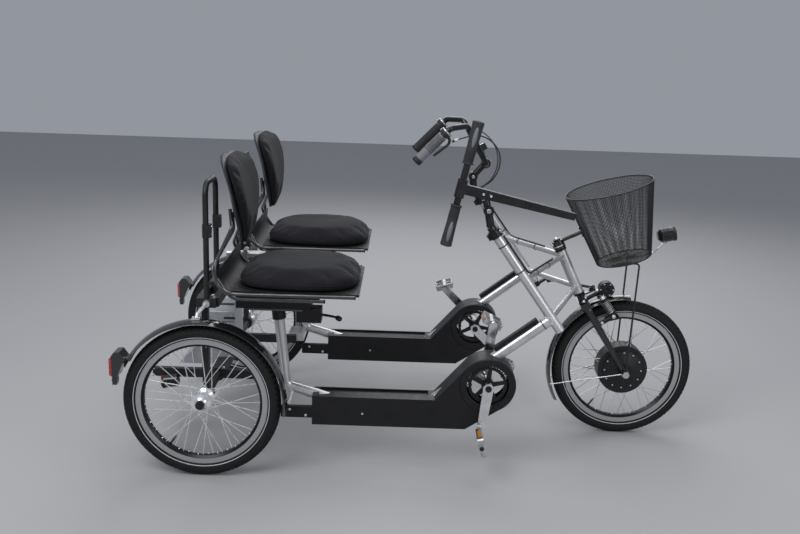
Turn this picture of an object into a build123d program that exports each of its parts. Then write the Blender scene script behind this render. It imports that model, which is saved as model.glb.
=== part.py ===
"""Side-by-side tandem tricycle: two riders abreast, two rear wheels, one steered front wheel.

Millimetres. +X is forward, +Y is the machine's left, +Z is up. Everything is drawn with x = 0 at
the rear axle, and save() moves it so that the origin is on the ground under the middle of the
machine's length. A point of a side view is written (x, z).
"""
from build123d import *
import os
from math import atan2, cos, degrees, hypot, radians, sin, tan

os.makedirs("parts", exist_ok=True)

# Whole machine
WHEELBASE = 1425
TRACK = 914
RIDER_GAP = 640
SEAT_GAP = 0.3
WORKING_GAP = 5

# Wheels: 47-406 tyres on alloy rims
RIM_R = 209
RIM_DEPTH = 25
RIM_BAND = 17
RIM_W = 27
RIM_WALL = 2
RIM_WELL = 7.5
TYRE_W = 47
BEAD_SINK = 6
SPOKES = 36
SPOKE_D = 2.2
SPOKE_END = 0.8
NIPPLE_OFFSET = 4
WHEEL_R = RIM_R + TYRE_W - BEAD_SINK
RIM_INNER_R = RIM_R - RIM_DEPTH

# Rear axle and hubs
AXLE_R = 8.5
AXLE_TUBE_R = 15
HUB_BARREL_R = 21
HUB_FLANGE_R = 31
HUB_FLANGE_T = 4
HUB_OUTER_FLANGE = 22
HUB_INNER_FLANGE = 34
HUB_OUT = 34
HUB_IN = 52
HUB_END_R = 15
CAP_R = 14
CAP_L = 8
LACING_TURN = 52

# Front hub motor
MOTOR_R = 89
MOTOR_W = 96
MOTOR_SHAFT_R = 7
MOTOR_LACING_TURN = 16

# Fenders
FENDER_CLEAR = 10
FENDER_SIDE = 7.5
FENDER_T = 2.5
FENDER_CROWN = 11
REAR_FENDER = (-64, 97)
FRONT_FENDER = (-119, 2)
FENDER_W = TYRE_W + 2 * FENDER_SIDE
FENDER_R = WHEEL_R + FENDER_CLEAR
FENDER_OUT = FENDER_R + FENDER_CROWN

# Head tube, fork and steering linkage
HEAD_BACK = 173
HEAD_RISE = 25
HEAD_L = 169
HEAD_ANGLE = 26
HEAD_R = 18
STEERER_R = 13
CUP_T = 8
FORK_HALF_W = 64
FORK_LEG_R = 14
FORK_TIP_R = 9
CROWN_DROP = 36
CROWN_T = 20
CROWN_L = 34
LEVER_DROP = 13
LEVER_L = 50
LEVER_PIN_R = 4
PIN_PLAY = 3
TIE_ROD_R = 5

# Rider frames: sloping column, main tube and cross tubes of each side
COLUMN_TOP = (919, 783)
COLUMN_BOTTOM = (1140, 478)
COLUMN_R = 16
SHAFT_R = 11
COLLAR_L = 26
MAIN_TUBE_LOW = (708, 205)
MAIN_TUBE_HIGH = (1103, 513)
MAIN_TUBE_R = 18
MAIN_BEND = 150
DIP_BEND = 60
CROSS_TUBE_R = 10
UPPER_CROSS_Z = 648
LOWER_CROSS_Z = 522

# Cranks, pedals and chaincases
CRANK_X = 910
CRANK_Z = 300
CRANK_L = 165
CRANK_SPREAD = 77
CRANK_T = 14
CRANK_BOSS_R = 17
CRANK_EYE_R = 13
CRANK_ANGLES = (187, 135)
SPINDLE_R = 9
PEDAL_L = 92
PEDAL_W = 66
PEDAL_T = 20
PEDAL_WALL = 3.5
PEDAL_BARREL_R = 11
PEDAL_PIN_R = 6
CASE_W = 90
CASE_SIDE = 55
CASE_BACK = 340
CASE_BOTTOM = 147
CASE_TOP = 245
CASE_STEP = 740
CASE_BELLY = 842
CASE_NOSE_R = 92
CASE_EYE_R = 69
CASE_WALL = 3
RING_R = 63
RING_INNER_R = 53
RING_T = 4
RING_ARMS = 5

# Seats
SEAT_L = 400
SEAT_W = 386
SEAT_BACK = 98
SEAT_Z = 628
CUSHION_T = 74
SEAT_FRAME_W = 410
RAIL_R = 5.5
RAIL_FRONT = 480
POST_TOP = (222, 530)
POST_ELBOW_X = 250
ELBOW_RISE = 12
POST_R = 17
HOOP_W = 160
HOOP_TOP = 945
HOOP_R = 9
HOOP_X = 8
BACK_W = 384

# Rear frame
UPRIGHT_W = 20
UPRIGHT_T = 24
UPRIGHT_H = 295
BEAM_Y = 200
BEAM_H = 30
BEAM_W = 20
BEAM_BACK = 220
BEAM_FRONT = 220

# Handles
BAR_W = 410
BAR_R = 11
GRIP_R = 17
GRIP_L = 130
HANDLE_BAR = 400

# Basket
BASKET_FORWARD = 152
BASKET_UP = 228
BASKET_H = 262
BASKET_TOP_R = 154
BASKET_LOW_R = 97
BASKET_TILT = -16
BASKET_WALL = 3
BASKET_ROWS = 6
BASKET_COLUMNS = 16
BASKET_ACROSS = 6
BASKET_BAR = 7
STAY_R = 3.2

REAR_REACH = FENDER_OUT + 14
MID_X = (WHEELBASE + WHEEL_R - REAR_REACH) / 2
RIDER_Y = RIDER_GAP / 2
WHEEL_Y = TRACK / 2
SIDES = {"right": -1, "left": 1}
CCM = (Align.CENTER, Align.CENTER, Align.MIN)
CMC = (Align.CENTER, Align.MIN, Align.CENTER)
MCC = (Align.MIN, Align.CENTER, Align.CENTER)


def save(name, shape):
    """Move a finished piece to the machine's origin and write it."""
    export_step(Pos(-MID_X, 0, 0) * shape, "parts/" + name + ".step")


def save_group(name, pieces):
    """Write like pieces that don't touch as one file."""
    save(name, Compound(children=list(pieces)))


def rod(start, end, radius, end_radius=None):
    """Round bar or tube from one point to another, tapered if two radii are given."""
    a, b = Vector(start), Vector(end)
    place = Plane(origin=a, z_dir=b - a)
    length = (b - a).length
    if end_radius is None:
        return place * Cylinder(radius, length, align=CCM)
    return place * Cone(radius, end_radius, length, align=CCM)


def bent(points, radius, bend):
    """Round tube along straight runs joined by tangent arcs of one radius or a list of them."""
    path = FilletPolyline(*points, radius=bend)
    return sweep(Plane(origin=path @ 0, z_dir=path % 0) * Circle(radius), path=path)


def hose(points, radius):
    """Cable along straight runs, each corner an arc that takes under half of its shorter run."""
    bends = []
    for before, corner, after in zip(points, points[1:], points[2:]):
        first, second = Vector(corner) - Vector(before), Vector(after) - Vector(corner)
        half_turn = radians(first.get_angle(second)) / 2
        bends.append(0.45 * min(first.length, second.length) / tan(half_turn))
    print("cable bend radii", [round(bend) for bend in bends])
    return bent(points, radius, bends)


def along(start, end, share):
    """Point at a share of the way between two points."""
    return tuple(a + (b - a) * share for a, b in zip(start, end))


def at_y(point, y):
    """Lift an (x, z) point of a side view to the plane y."""
    return (point[0], y, point[1])


def side_dir(start, end):
    """Unit direction from one side-view point to another."""
    length = hypot(end[0] - start[0], end[1] - start[1])
    return ((end[0] - start[0]) / length, (end[1] - start[1]) / length)


def on_line(point, direction, distance):
    """Side-view point at a distance along a direction."""
    return (point[0] + direction[0] * distance, point[1] + direction[1] * distance)


def side_turn(direction):
    """Turn about Y that lays a piece's X axis along a side-view direction."""
    return Rot(0, -degrees(atan2(direction[1], direction[0])), 0)


def side_plate(outline, y_low, y_high):
    """Plate cut to a side-view face and standing between two planes of constant y."""
    return Pos(0, y_high, 0) * extrude(Plane.XZ * outline, amount=y_high - y_low)


def link_outline(start, start_r, end, end_r):
    """Side view of a lever: two round ends joined by a tapering web."""
    run = side_dir(start, end)
    across = (-run[1], run[0])
    web = Polyline(on_line(start, across, start_r), on_line(end, across, end_r),
                   on_line(end, across, -end_r), on_line(start, across, -start_r), close=True)
    return make_face(web) + Pos(*start) * Circle(start_r) + Pos(*end) * Circle(end_r)


# Wheels
def tyre():
    """Tyre with its round tread and the bead foot that sits between the rim's flanges."""
    half = TYRE_W / 2
    seat = RIM_R + SEAT_GAP
    foot_r = RIM_R - RIM_WELL + SEAT_GAP
    foot_w = RIM_W - 2 * RIM_WALL - 2 * SEAT_GAP
    section = Pos(0, WHEEL_R - half) * Circle(half)
    section -= Pos(0, seat - half) * Rectangle(2 * TYRE_W, TYRE_W)
    section += Pos(0, foot_r) * Rectangle(foot_w, seat + 3 - foot_r, align=(Align.CENTER, Align.MIN))
    return revolve(Plane.YZ * section, Axis.Y, 360)


def rim():
    """Box-section rim with flat side bands, a tapered spoke bed and a well for the tyre's foot."""
    half = RIM_W / 2
    well = RIM_R - RIM_WELL
    section = Polyline(
        (-half, RIM_R), (-half, RIM_R - RIM_BAND), (-half / 2, RIM_INNER_R),
        (half / 2, RIM_INNER_R), (half, RIM_R - RIM_BAND), (half, RIM_R),
        (half - RIM_WALL, RIM_R), (half - RIM_WALL, well),
        (RIM_WALL - half, well), (RIM_WALL - half, RIM_R), close=True)
    return revolve(Plane.YZ * make_face(section), Axis.Y, 360)


def spokes(flange_r, right_flange, left_flange, turn):
    """Laced spokes: each leaves its flange hole turned round the hub and ends at the rim."""
    bars = []
    for i in range(SPOKES):
        side = 1 if i % 2 else -1
        lean = 1 if (i // 2) % 2 else -1
        rim_angle = radians(360 / SPOKES * i)
        hub_angle = rim_angle - lean * radians(turn)
        flange_y = left_flange if side > 0 else right_flange
        start = Vector(flange_r * sin(hub_angle), flange_y + lean, flange_r * cos(hub_angle))
        reach = RIM_INNER_R - SPOKE_END
        end = Vector(reach * sin(rim_angle), side * NIPPLE_OFFSET, reach * cos(rim_angle))
        bars.append(Plane(origin=start, z_dir=end - start) * Box(SPOKE_D, SPOKE_D, (end - start).length, align=CCM))
    return bars


def rear_hub(side):
    """Rear hub: a waisted shell with two flanges, bored for the axle, with its spokes laced on."""
    half = HUB_FLANGE_T / 2
    profile = [
        (-HUB_IN, 0), (-HUB_IN, HUB_END_R), (-HUB_INNER_FLANGE - 9, HUB_BARREL_R),
        (-HUB_INNER_FLANGE - half, HUB_FLANGE_R), (-HUB_INNER_FLANGE + half, HUB_FLANGE_R),
        (-HUB_INNER_FLANGE + 10, HUB_BARREL_R), (HUB_OUTER_FLANGE - 10, HUB_BARREL_R),
        (HUB_OUTER_FLANGE - half, HUB_FLANGE_R), (HUB_OUTER_FLANGE + half, HUB_FLANGE_R),
        (HUB_OUTER_FLANGE + 6, HUB_BARREL_R), (HUB_OUT, HUB_END_R), (HUB_OUT, 0)]
    section = make_face(Polyline(*[(side * y, r) for y, r in profile], close=True))
    hub = revolve(Plane.YZ * section, Axis.Y, 360)
    hub -= rod((0, -HUB_IN - 1, 0), (0, HUB_IN + 1, 0), AXLE_R + SEAT_GAP)
    flanges = sorted((side * HUB_OUTER_FLANGE, -side * HUB_INNER_FLANGE))
    return hub + spokes(HUB_FLANGE_R - 4, flanges[0], flanges[1], LACING_TURN)


def hub_motor():
    """Front hub motor: a wide drum with domed side covers, bored for its shaft, with its spokes."""
    half = MOTOR_W / 2
    cover = MOTOR_R * 0.8
    section = Polyline(
        (-half, 0), (-half, MOTOR_R / 3), (-half + 12, cover), (-half + 16, cover), (-half + 16, MOTOR_R),
        (half - 16, MOTOR_R), (half - 16, cover), (half - 12, cover), (half, MOTOR_R / 3), (half, 0), close=True)
    drum = revolve(Plane.YZ * make_face(section), Axis.Y, 360)
    drum -= rod((0, -half - 1, 0), (0, half + 1, 0), MOTOR_SHAFT_R + SEAT_GAP)
    return drum + spokes(MOTOR_R - 3, 20 - half, half - 20, MOTOR_LACING_TURN)


one_tyre = tyre()
one_rim = rim()
for side_name, side in SIDES.items():
    centre = Pos(0, side * WHEEL_Y, WHEEL_R)
    save("rear_tyre_" + side_name, centre * one_tyre)
    save("rear_rim_" + side_name, centre * one_rim)
    save("rear_hub_" + side_name, centre * rear_hub(side))
front_centre = Pos(WHEELBASE, 0, WHEEL_R)
save("front_tyre", front_centre * one_tyre)
save("front_rim", front_centre * one_rim)
save("front_hub_motor", front_centre * hub_motor())

# Rear axle: a tube between the wheels with a stub shaft and a cap at each end
POST_Y = WHEEL_Y - HUB_IN - WORKING_GAP
axle_end = WHEEL_Y + HUB_OUT
axle = rod((0, -axle_end - 2, WHEEL_R), (0, axle_end + 2, WHEEL_R), AXLE_R)
axle += rod((0, -POST_Y, WHEEL_R), (0, POST_Y, WHEEL_R), AXLE_TUBE_R)
for side in SIDES.values():
    axle += rod((0, side * (axle_end + 1), WHEEL_R), (0, side * (axle_end + 1 + CAP_L), WHEEL_R), CAP_R)
save("rear_axle", axle)

# Rear frame: uprights and a ladder of two cross bars over the axle, two beams along the machine,
# and a tray between the beams for the battery case
CLAMP_R = AXLE_TUBE_R + 9
LADDER_BACK = -25
LADDER_FRONT = 45
LADDER_H = 30
HOOP_FOOT_W = 26
TRAY_T = 2.4
TRAY_SPAN = (-20, 36)
ladder_z = WHEEL_R + UPRIGHT_H
ladder_mid = (LADDER_BACK + LADDER_FRONT) / 2
ladder = Pos(LADDER_BACK, 0, ladder_z) * Box(UPRIGHT_W, 2 * POST_Y, LADDER_H, align=(Align.MIN, Align.CENTER, Align.MIN))
ladder += Pos(LADDER_FRONT, 0, ladder_z) * Box(UPRIGHT_W, 2 * POST_Y, LADDER_H, align=(Align.MAX, Align.CENTER, Align.MIN))
tray_z = WHEEL_R + BEAM_H / 2
tray_mid = (TRAY_SPAN[0] + TRAY_SPAN[1]) / 2
beams = Pos(tray_mid, 0, tray_z) * Box(TRAY_SPAN[1] - TRAY_SPAN[0], 2 * BEAM_Y + BEAM_W, TRAY_T, align=CCM)
for side in SIDES.values():
    y = side * (POST_Y - UPRIGHT_T / 2)
    ladder += Pos(0, y, WHEEL_R) * Box(UPRIGHT_W, UPRIGHT_T, UPRIGHT_H + LADDER_H / 2, align=CCM)
    ladder += rod((0, y - UPRIGHT_T / 2, WHEEL_R), (0, y + UPRIGHT_T / 2, WHEEL_R), CLAMP_R)
    ladder += Pos(ladder_mid, y, ladder_z) * Box(LADDER_FRONT - LADDER_BACK, UPRIGHT_T, LADDER_H, align=CCM)
    for hoop_side in (-1, 1):
        leg_y = side * RIDER_Y + hoop_side * HOOP_W / 2
        ladder += Pos(HOOP_X, leg_y, ladder_z) * Box(62, HOOP_FOOT_W, LADDER_H, align=CCM)
    y = side * BEAM_Y
    beams += Pos((BEAM_FRONT - BEAM_BACK) / 2, y, WHEEL_R) * Box(BEAM_FRONT + BEAM_BACK, BEAM_W, BEAM_H)
    beams += rod((0, y - 16, WHEEL_R), (0, y + 16, WHEEL_R), CLAMP_R)
axle_bore = rod((0, -WHEEL_Y, WHEEL_R), (0, WHEEL_Y, WHEEL_R), AXLE_TUBE_R + SEAT_GAP)
save_group("rear_frame", [ladder - axle_bore, beams - axle_bore])

# Battery case: a box with a wedge-shaped back that reaches down behind the axle
BATTERY_HALF_W = 85
BATTERY_TOP = 437
case_low = tray_z + TRAY_T + SEAT_GAP
battery_outline = Polyline(
    (-160, WHEEL_R - 10), (-28, WHEEL_R - 10), (-28, case_low), (38, case_low), (38, BATTERY_TOP),
    (-62, BATTERY_TOP), (-66, BATTERY_TOP - 50), (-103, WHEEL_R + 51), close=True)
battery = side_plate(make_face(battery_outline), -BATTERY_HALF_W, BATTERY_HALF_W)
battery = fillet(battery.edges().group_by(Axis.Z)[-1], 6)
save("battery_case", battery)

# Steering geometry
HEAD_DIR = (sin(radians(HEAD_ANGLE)), -cos(radians(HEAD_ANGLE)))
HEAD_BOTTOM = (WHEELBASE - HEAD_BACK, 2 * WHEEL_R + HEAD_RISE)
HEAD_TOP = on_line(HEAD_BOTTOM, HEAD_DIR, -HEAD_L)
head_up = (-HEAD_DIR[0], -HEAD_DIR[1])
head_fwd = (-HEAD_DIR[1], HEAD_DIR[0])
COLUMN_DIR = side_dir(COLUMN_TOP, COLUMN_BOTTOM)
up = (-COLUMN_DIR[0], -COLUMN_DIR[1])
fwd = (-COLUMN_DIR[1], COLUMN_DIR[0])
SPINE_BACK = CASE_BACK - 20
elbow = (POST_ELBOW_X, WHEEL_R + ELBOW_RISE)
dip = (CASE_BACK + 100, MAIN_TUBE_LOW[1])
spine_start = along(elbow, dip, (SPINE_BACK - elbow[0]) / (dip[0] - elbow[0]))


def column_at(z):
    """Point of the column's axis at a height."""
    share = (COLUMN_TOP[1] - z) / (COLUMN_TOP[1] - COLUMN_BOTTOM[1])
    return along(COLUMN_TOP, COLUMN_BOTTOM, share)


def column_bar(y, radius, over=0):
    """The column, or the space that it takes, lengthened at both ends if asked."""
    return rod(at_y(on_line(COLUMN_TOP, up, over), y), at_y(on_line(COLUMN_BOTTOM, COLUMN_DIR, over), y), radius)


def main_tube(y, radius):
    """Main tube: dips into the chaincase, runs level through it, then bends up to the column."""
    points = [at_y(spine_start, y), at_y(dip, y), at_y(MAIN_TUBE_LOW, y), at_y(MAIN_TUBE_HIGH, y)]
    return bent(points, radius, [DIP_BEND, MAIN_BEND])


# Columns and main tubes: the driver's column is bored for the steering shaft
SHELL_R = 21
SHELL_HALF_W = 34
columns = []
main_tubes = []
for side in SIDES.values():
    y = side * RIDER_Y
    column = column_bar(y, COLUMN_R)
    if side > 0:
        column -= column_bar(y, SHAFT_R + SEAT_GAP, 5)
    columns.append(column)
    shell = rod((CRANK_X, y - SHELL_HALF_W, CRANK_Z), (CRANK_X, y + SHELL_HALF_W, CRANK_Z), SHELL_R)
    shell += rod((CRANK_X, y, CRANK_Z), (CRANK_X - 40, y, CRANK_Z + 32), 14)
    shell -= rod((CRANK_X, y - 40, CRANK_Z), (CRANK_X, y + 40, CRANK_Z), SPINDLE_R)
    main_tubes.append(main_tube(y, MAIN_TUBE_R) + shell - column_bar(y, COLUMN_R + SEAT_GAP, 9))
save_group("columns", columns)
save_group("main_tubes", main_tubes)

# Head tube and the four cross tubes that carry it, each coped to the tubes at its ends
head_bar = rod(at_y(HEAD_TOP, 0), at_y(HEAD_BOTTOM, 0), HEAD_R + SEAT_GAP)
cross_tubes = []
for side in SIDES.values():
    y = side * RIDER_Y
    for column_z, head_share in ((UPPER_CROSS_Z, 0.13), (LOWER_CROSS_Z, 0.86)):
        start = at_y(column_at(column_z), y)
        end = at_y(along(HEAD_TOP, HEAD_BOTTOM, head_share), 0)
        tube = rod(start, end, CROSS_TUBE_R) - head_bar - column_bar(y, COLUMN_R + SEAT_GAP, 9)
        tube -= main_tube(y, MAIN_TUBE_R + SEAT_GAP)
        pieces = tube.solids()
        cross_tubes.append(max(pieces, key=lambda piece: piece.volume))
save_group("cross_tubes", cross_tubes)
steerer_bore = rod(at_y(on_line(HEAD_TOP, head_up, 20), 0), at_y(on_line(HEAD_BOTTOM, HEAD_DIR, 20), 0),
                   STEERER_R + SEAT_GAP)
save("head_tube", rod(at_y(HEAD_TOP, 0), at_y(HEAD_BOTTOM, 0), HEAD_R) - steerer_bore)

# Bearing cups of the head tube and clamping collars on both columns
collars = []
for point, out in ((HEAD_TOP, head_up), (HEAD_BOTTOM, HEAD_DIR)):
    cup = rod(at_y(on_line(point, out, SEAT_GAP), 0), at_y(on_line(point, out, CUP_T), 0), HEAD_R + 3, HEAD_R + 1)
    collars.append(cup - steerer_bore)
for side in SIDES.values():
    y = side * RIDER_Y
    collar = rod(at_y(on_line(COLUMN_TOP, up, SEAT_GAP), y), at_y(on_line(COLUMN_TOP, up, COLLAR_L), y), COLUMN_R + 4)
    ear = Pos(*at_y(on_line(COLUMN_TOP, up, COLLAR_L / 2), y)) * side_turn(up) * Pos(0, 0, 18) * Box(20, 18, 18)
    collar += ear
    if side > 0:
        collar -= column_bar(y, SHAFT_R + SEAT_GAP, 60)
    collars.append(collar)
save_group("frame_collars", collars)


# Chaincases: long box with a tray on top and a round nose about the crank axle
def case_outline(inset):
    """Side view of the case, drawn smaller all round by the inset."""
    nose = CASE_NOSE_R - inset
    low = CASE_BOTTOM + inset
    high = CASE_TOP - inset
    body = Polyline(
        (CASE_BACK + inset, low), (CASE_BELLY, low), (CRANK_X + nose * 0.66, CRANK_Z - nose * 0.75),
        (CRANK_X, CRANK_Z), (CRANK_X - nose * 0.82, CRANK_Z + nose * 0.57),
        (CASE_STEP + inset, high), (CASE_BACK + inset, high), close=True)
    return make_face(body) + Pos(CRANK_X, CRANK_Z) * Circle(nose)


TRAY_DEPTH = 7
TRAY_RIM = 5
TRAY_END = 20
STRIP_L = 170
STRIP_W = 22
STRIP_T = 13
STRIP_AT = 300
main_dir = side_dir(MAIN_TUBE_LOW, MAIN_TUBE_HIGH)
main_up = (-main_dir[1], main_dir[0])
strips = []
for side_name, side in SIDES.items():
    y = side * RIDER_Y
    near = y - CASE_SIDE
    far = near + CASE_W
    case = side_plate(case_outline(0), near, far)
    case -= side_plate(case_outline(CASE_WALL), near + CASE_WALL, far - CASE_WALL)
    tray_l = CASE_STEP - CASE_BACK - 2 * TRAY_END
    tray_x = CASE_BACK + TRAY_END + tray_l / 2
    case -= Pos(tray_x, (near + far) / 2, CASE_TOP) * Box(tray_l, CASE_W - 2 * TRAY_RIM, 2 * TRAY_DEPTH)
    case += Pos(tray_x, (near + far) / 2, CASE_TOP - TRAY_DEPTH - CASE_WALL) * Box(
        tray_l + 2 * CASE_WALL, CASE_W, CASE_WALL, align=CCM)
    case -= rod((CRANK_X, near - 1, CRANK_Z), (CRANK_X, far + 1, CRANK_Z), CASE_EYE_R)
    bezel = rod((CRANK_X, near - 4, CRANK_Z), (CRANK_X, near, CRANK_Z), CASE_NOSE_R - 3, CASE_NOSE_R)
    bezel -= rod((CRANK_X, near - 5, CRANK_Z), (CRANK_X, near + 1, CRANK_Z), CASE_EYE_R)
    case += bezel
    case -= main_tube(y, MAIN_TUBE_R + SEAT_GAP)
    save("chaincase_" + side_name, case)
    strip_mid = on_line(on_line(MAIN_TUBE_LOW, main_dir, STRIP_AT + STRIP_L / 2), main_up,
                        MAIN_TUBE_R + SEAT_GAP + STRIP_T / 2)
    strips.append(Pos(*at_y(strip_mid, y)) * side_turn(main_dir) * Box(STRIP_L, STRIP_W, STRIP_T))
save_group("cable_covers", strips)


# Cranks, chainrings and pedals
def pedal_cage():
    """Cage pedal about its own axle: a rounded frame, a barrel and two cross bars."""
    cage = Box(PEDAL_W, PEDAL_L, PEDAL_T)
    cage = fillet(cage.edges().filter_by(Axis.Z), 9)
    hole = Box(PEDAL_W - 2 * PEDAL_WALL, PEDAL_L - 2 * PEDAL_WALL, PEDAL_T + 2)
    cage -= fillet(hole.edges().filter_by(Axis.Z), 6)
    cage += rod((0, -PEDAL_L / 2 + 1, 0), (0, PEDAL_L / 2 - 1, 0), PEDAL_BARREL_R)
    for share in (-0.2, 0.2):
        cage += Pos(0, share * PEDAL_L, 0) * Box(PEDAL_W - PEDAL_WALL, 5, 8)
    return cage - rod((0, -PEDAL_L, 0), (0, PEDAL_L, 0), PEDAL_PIN_R + SEAT_GAP)


# Columns: crank set, end of its axle (-1 is the machine's right), name of the pedal, its tilt
PEDALS = (("right", -1, "outer", 78), ("right", 1, "inner", 25), ("left", -1, "inner", 20), ("left", 1, "outer", -15))
one_pedal = pedal_cage()
crank_parts = {name: [] for name in SIDES}
for side_name, end, place_name, tilt in PEDALS:
    y = SIDES[side_name] * RIDER_Y
    angle = radians(CRANK_ANGLES[0] if side_name == "right" else CRANK_ANGLES[1])
    reach = -end * CRANK_L
    eye = (CRANK_X + sin(angle) * reach, CRANK_Z + cos(angle) * reach)
    arm_y = y + end * CRANK_SPREAD
    arm = side_plate(link_outline((CRANK_X, CRANK_Z), CRANK_BOSS_R, eye, CRANK_EYE_R),
                     arm_y - CRANK_T / 2, arm_y + CRANK_T / 2)
    pedal_in = arm_y + end * (CRANK_T / 2 + WORKING_GAP)
    arm += rod(at_y(eye, arm_y), at_y(eye, pedal_in + end * PEDAL_L), PEDAL_PIN_R)
    arm += rod((CRANK_X, y, CRANK_Z), (CRANK_X, arm_y + end * (CRANK_T / 2 + 2), CRANK_Z), SPINDLE_R - SEAT_GAP)
    crank_parts[side_name].append(arm)
    pedal = Pos(*at_y(eye, pedal_in + end * PEDAL_L / 2)) * Rot(0, tilt, 0) * one_pedal
    save("pedal_" + side_name + "_" + place_name, pedal)
for index, (side_name, side) in enumerate(SIDES.items()):
    save("cranks_" + side_name, crank_parts[side_name][0] + crank_parts[side_name][1])
    ring_y = side * RIDER_Y - CASE_SIDE + 10
    ring_half = RING_T / 2
    ring = rod((CRANK_X, ring_y - ring_half, CRANK_Z), (CRANK_X, ring_y + ring_half, CRANK_Z), RING_R)
    ring -= rod((CRANK_X, ring_y - RING_T, CRANK_Z), (CRANK_X, ring_y + RING_T, CRANK_Z), RING_INNER_R)
    ring += rod((CRANK_X, ring_y - ring_half - 3, CRANK_Z), (CRANK_X, ring_y + ring_half, CRANK_Z), 20)
    for i in range(RING_ARMS):
        turn = CRANK_ANGLES[index] + 36 + 360 / RING_ARMS * i
        tip = (CRANK_X + sin(radians(turn)) * (RING_INNER_R + 4), CRANK_Z + cos(radians(turn)) * (RING_INNER_R + 4))
        ring += side_plate(link_outline((CRANK_X, CRANK_Z), 9, tip, 6), ring_y - ring_half, ring_y + ring_half)
    ring -= rod((CRANK_X, ring_y - RING_T - 3, CRANK_Z), (CRANK_X, ring_y + RING_T, CRANK_Z), SPINDLE_R - SEAT_GAP)
    save("chainring_" + side_name, ring)

# Seat posts with their links to the beams, bases with pans, side rails, cushions and hoops
BASE_T = 8
BASE_Z = SEAT_Z - BASE_T - SEAT_GAP
RAIL_Z = BASE_Z + BASE_T / 2 - 1.5
LOWER_RAIL_DROP = 18
MOUNT_W = 70
MOUNT_L = 240
SOCKET_L = 40
SOCKET_R = POST_R + 5
PAN_T = 4
PAN_TOP = 700
BACK_PROFILE = ((110, 1038), (130, 930), (148, 800), (130, 742), (106, 748), (84, 920), (64, 1034))
rail_y = SEAT_FRAME_W / 2 - RAIL_R
inner_rail_y = rail_y - 2 * RAIL_R - SEAT_GAP
pan_half_w = inner_rail_y - RAIL_R - SEAT_GAP
back_line = side_dir(BACK_PROFILE[4], BACK_PROFILE[5])


def behind_back(z):
    """x of a rail's axis where it lies against the backrest at a height."""
    share = (z - BACK_PROFILE[4][1]) / (BACK_PROFILE[5][1] - BACK_PROFILE[4][1])
    return along(BACK_PROFILE[4], BACK_PROFILE[5], share)[0] - (RAIL_R + SEAT_GAP) / back_line[1]


def upper_rail(y, end, radius):
    """Rail from the backrest out and down to the seat's side, then forward."""
    points = [(behind_back(862), y + end * 88, 862), (behind_back(806), y + end * 100, 806),
              (56, y + end * rail_y, 708), (66, y + end * rail_y, RAIL_Z), (RAIL_FRONT, y + end * rail_y, RAIL_Z)]
    return bent(points, radius, [30, 40, 55])


def lower_rail(y, end, radius):
    """Rail beside the upper one, crossing it behind the seat and ending under the seat's side."""
    low = RAIL_Z - LOWER_RAIL_DROP
    points = [(behind_back(848), y + end * 64, 848), (behind_back(796), y + end * 76, 796),
              (44, y + end * inner_rail_y, 692), (104, y + end * inner_rail_y, low),
              (RAIL_FRONT - 93, y + end * inner_rail_y, low)]
    return bent(points, radius, [30, 30, 45])


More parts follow.
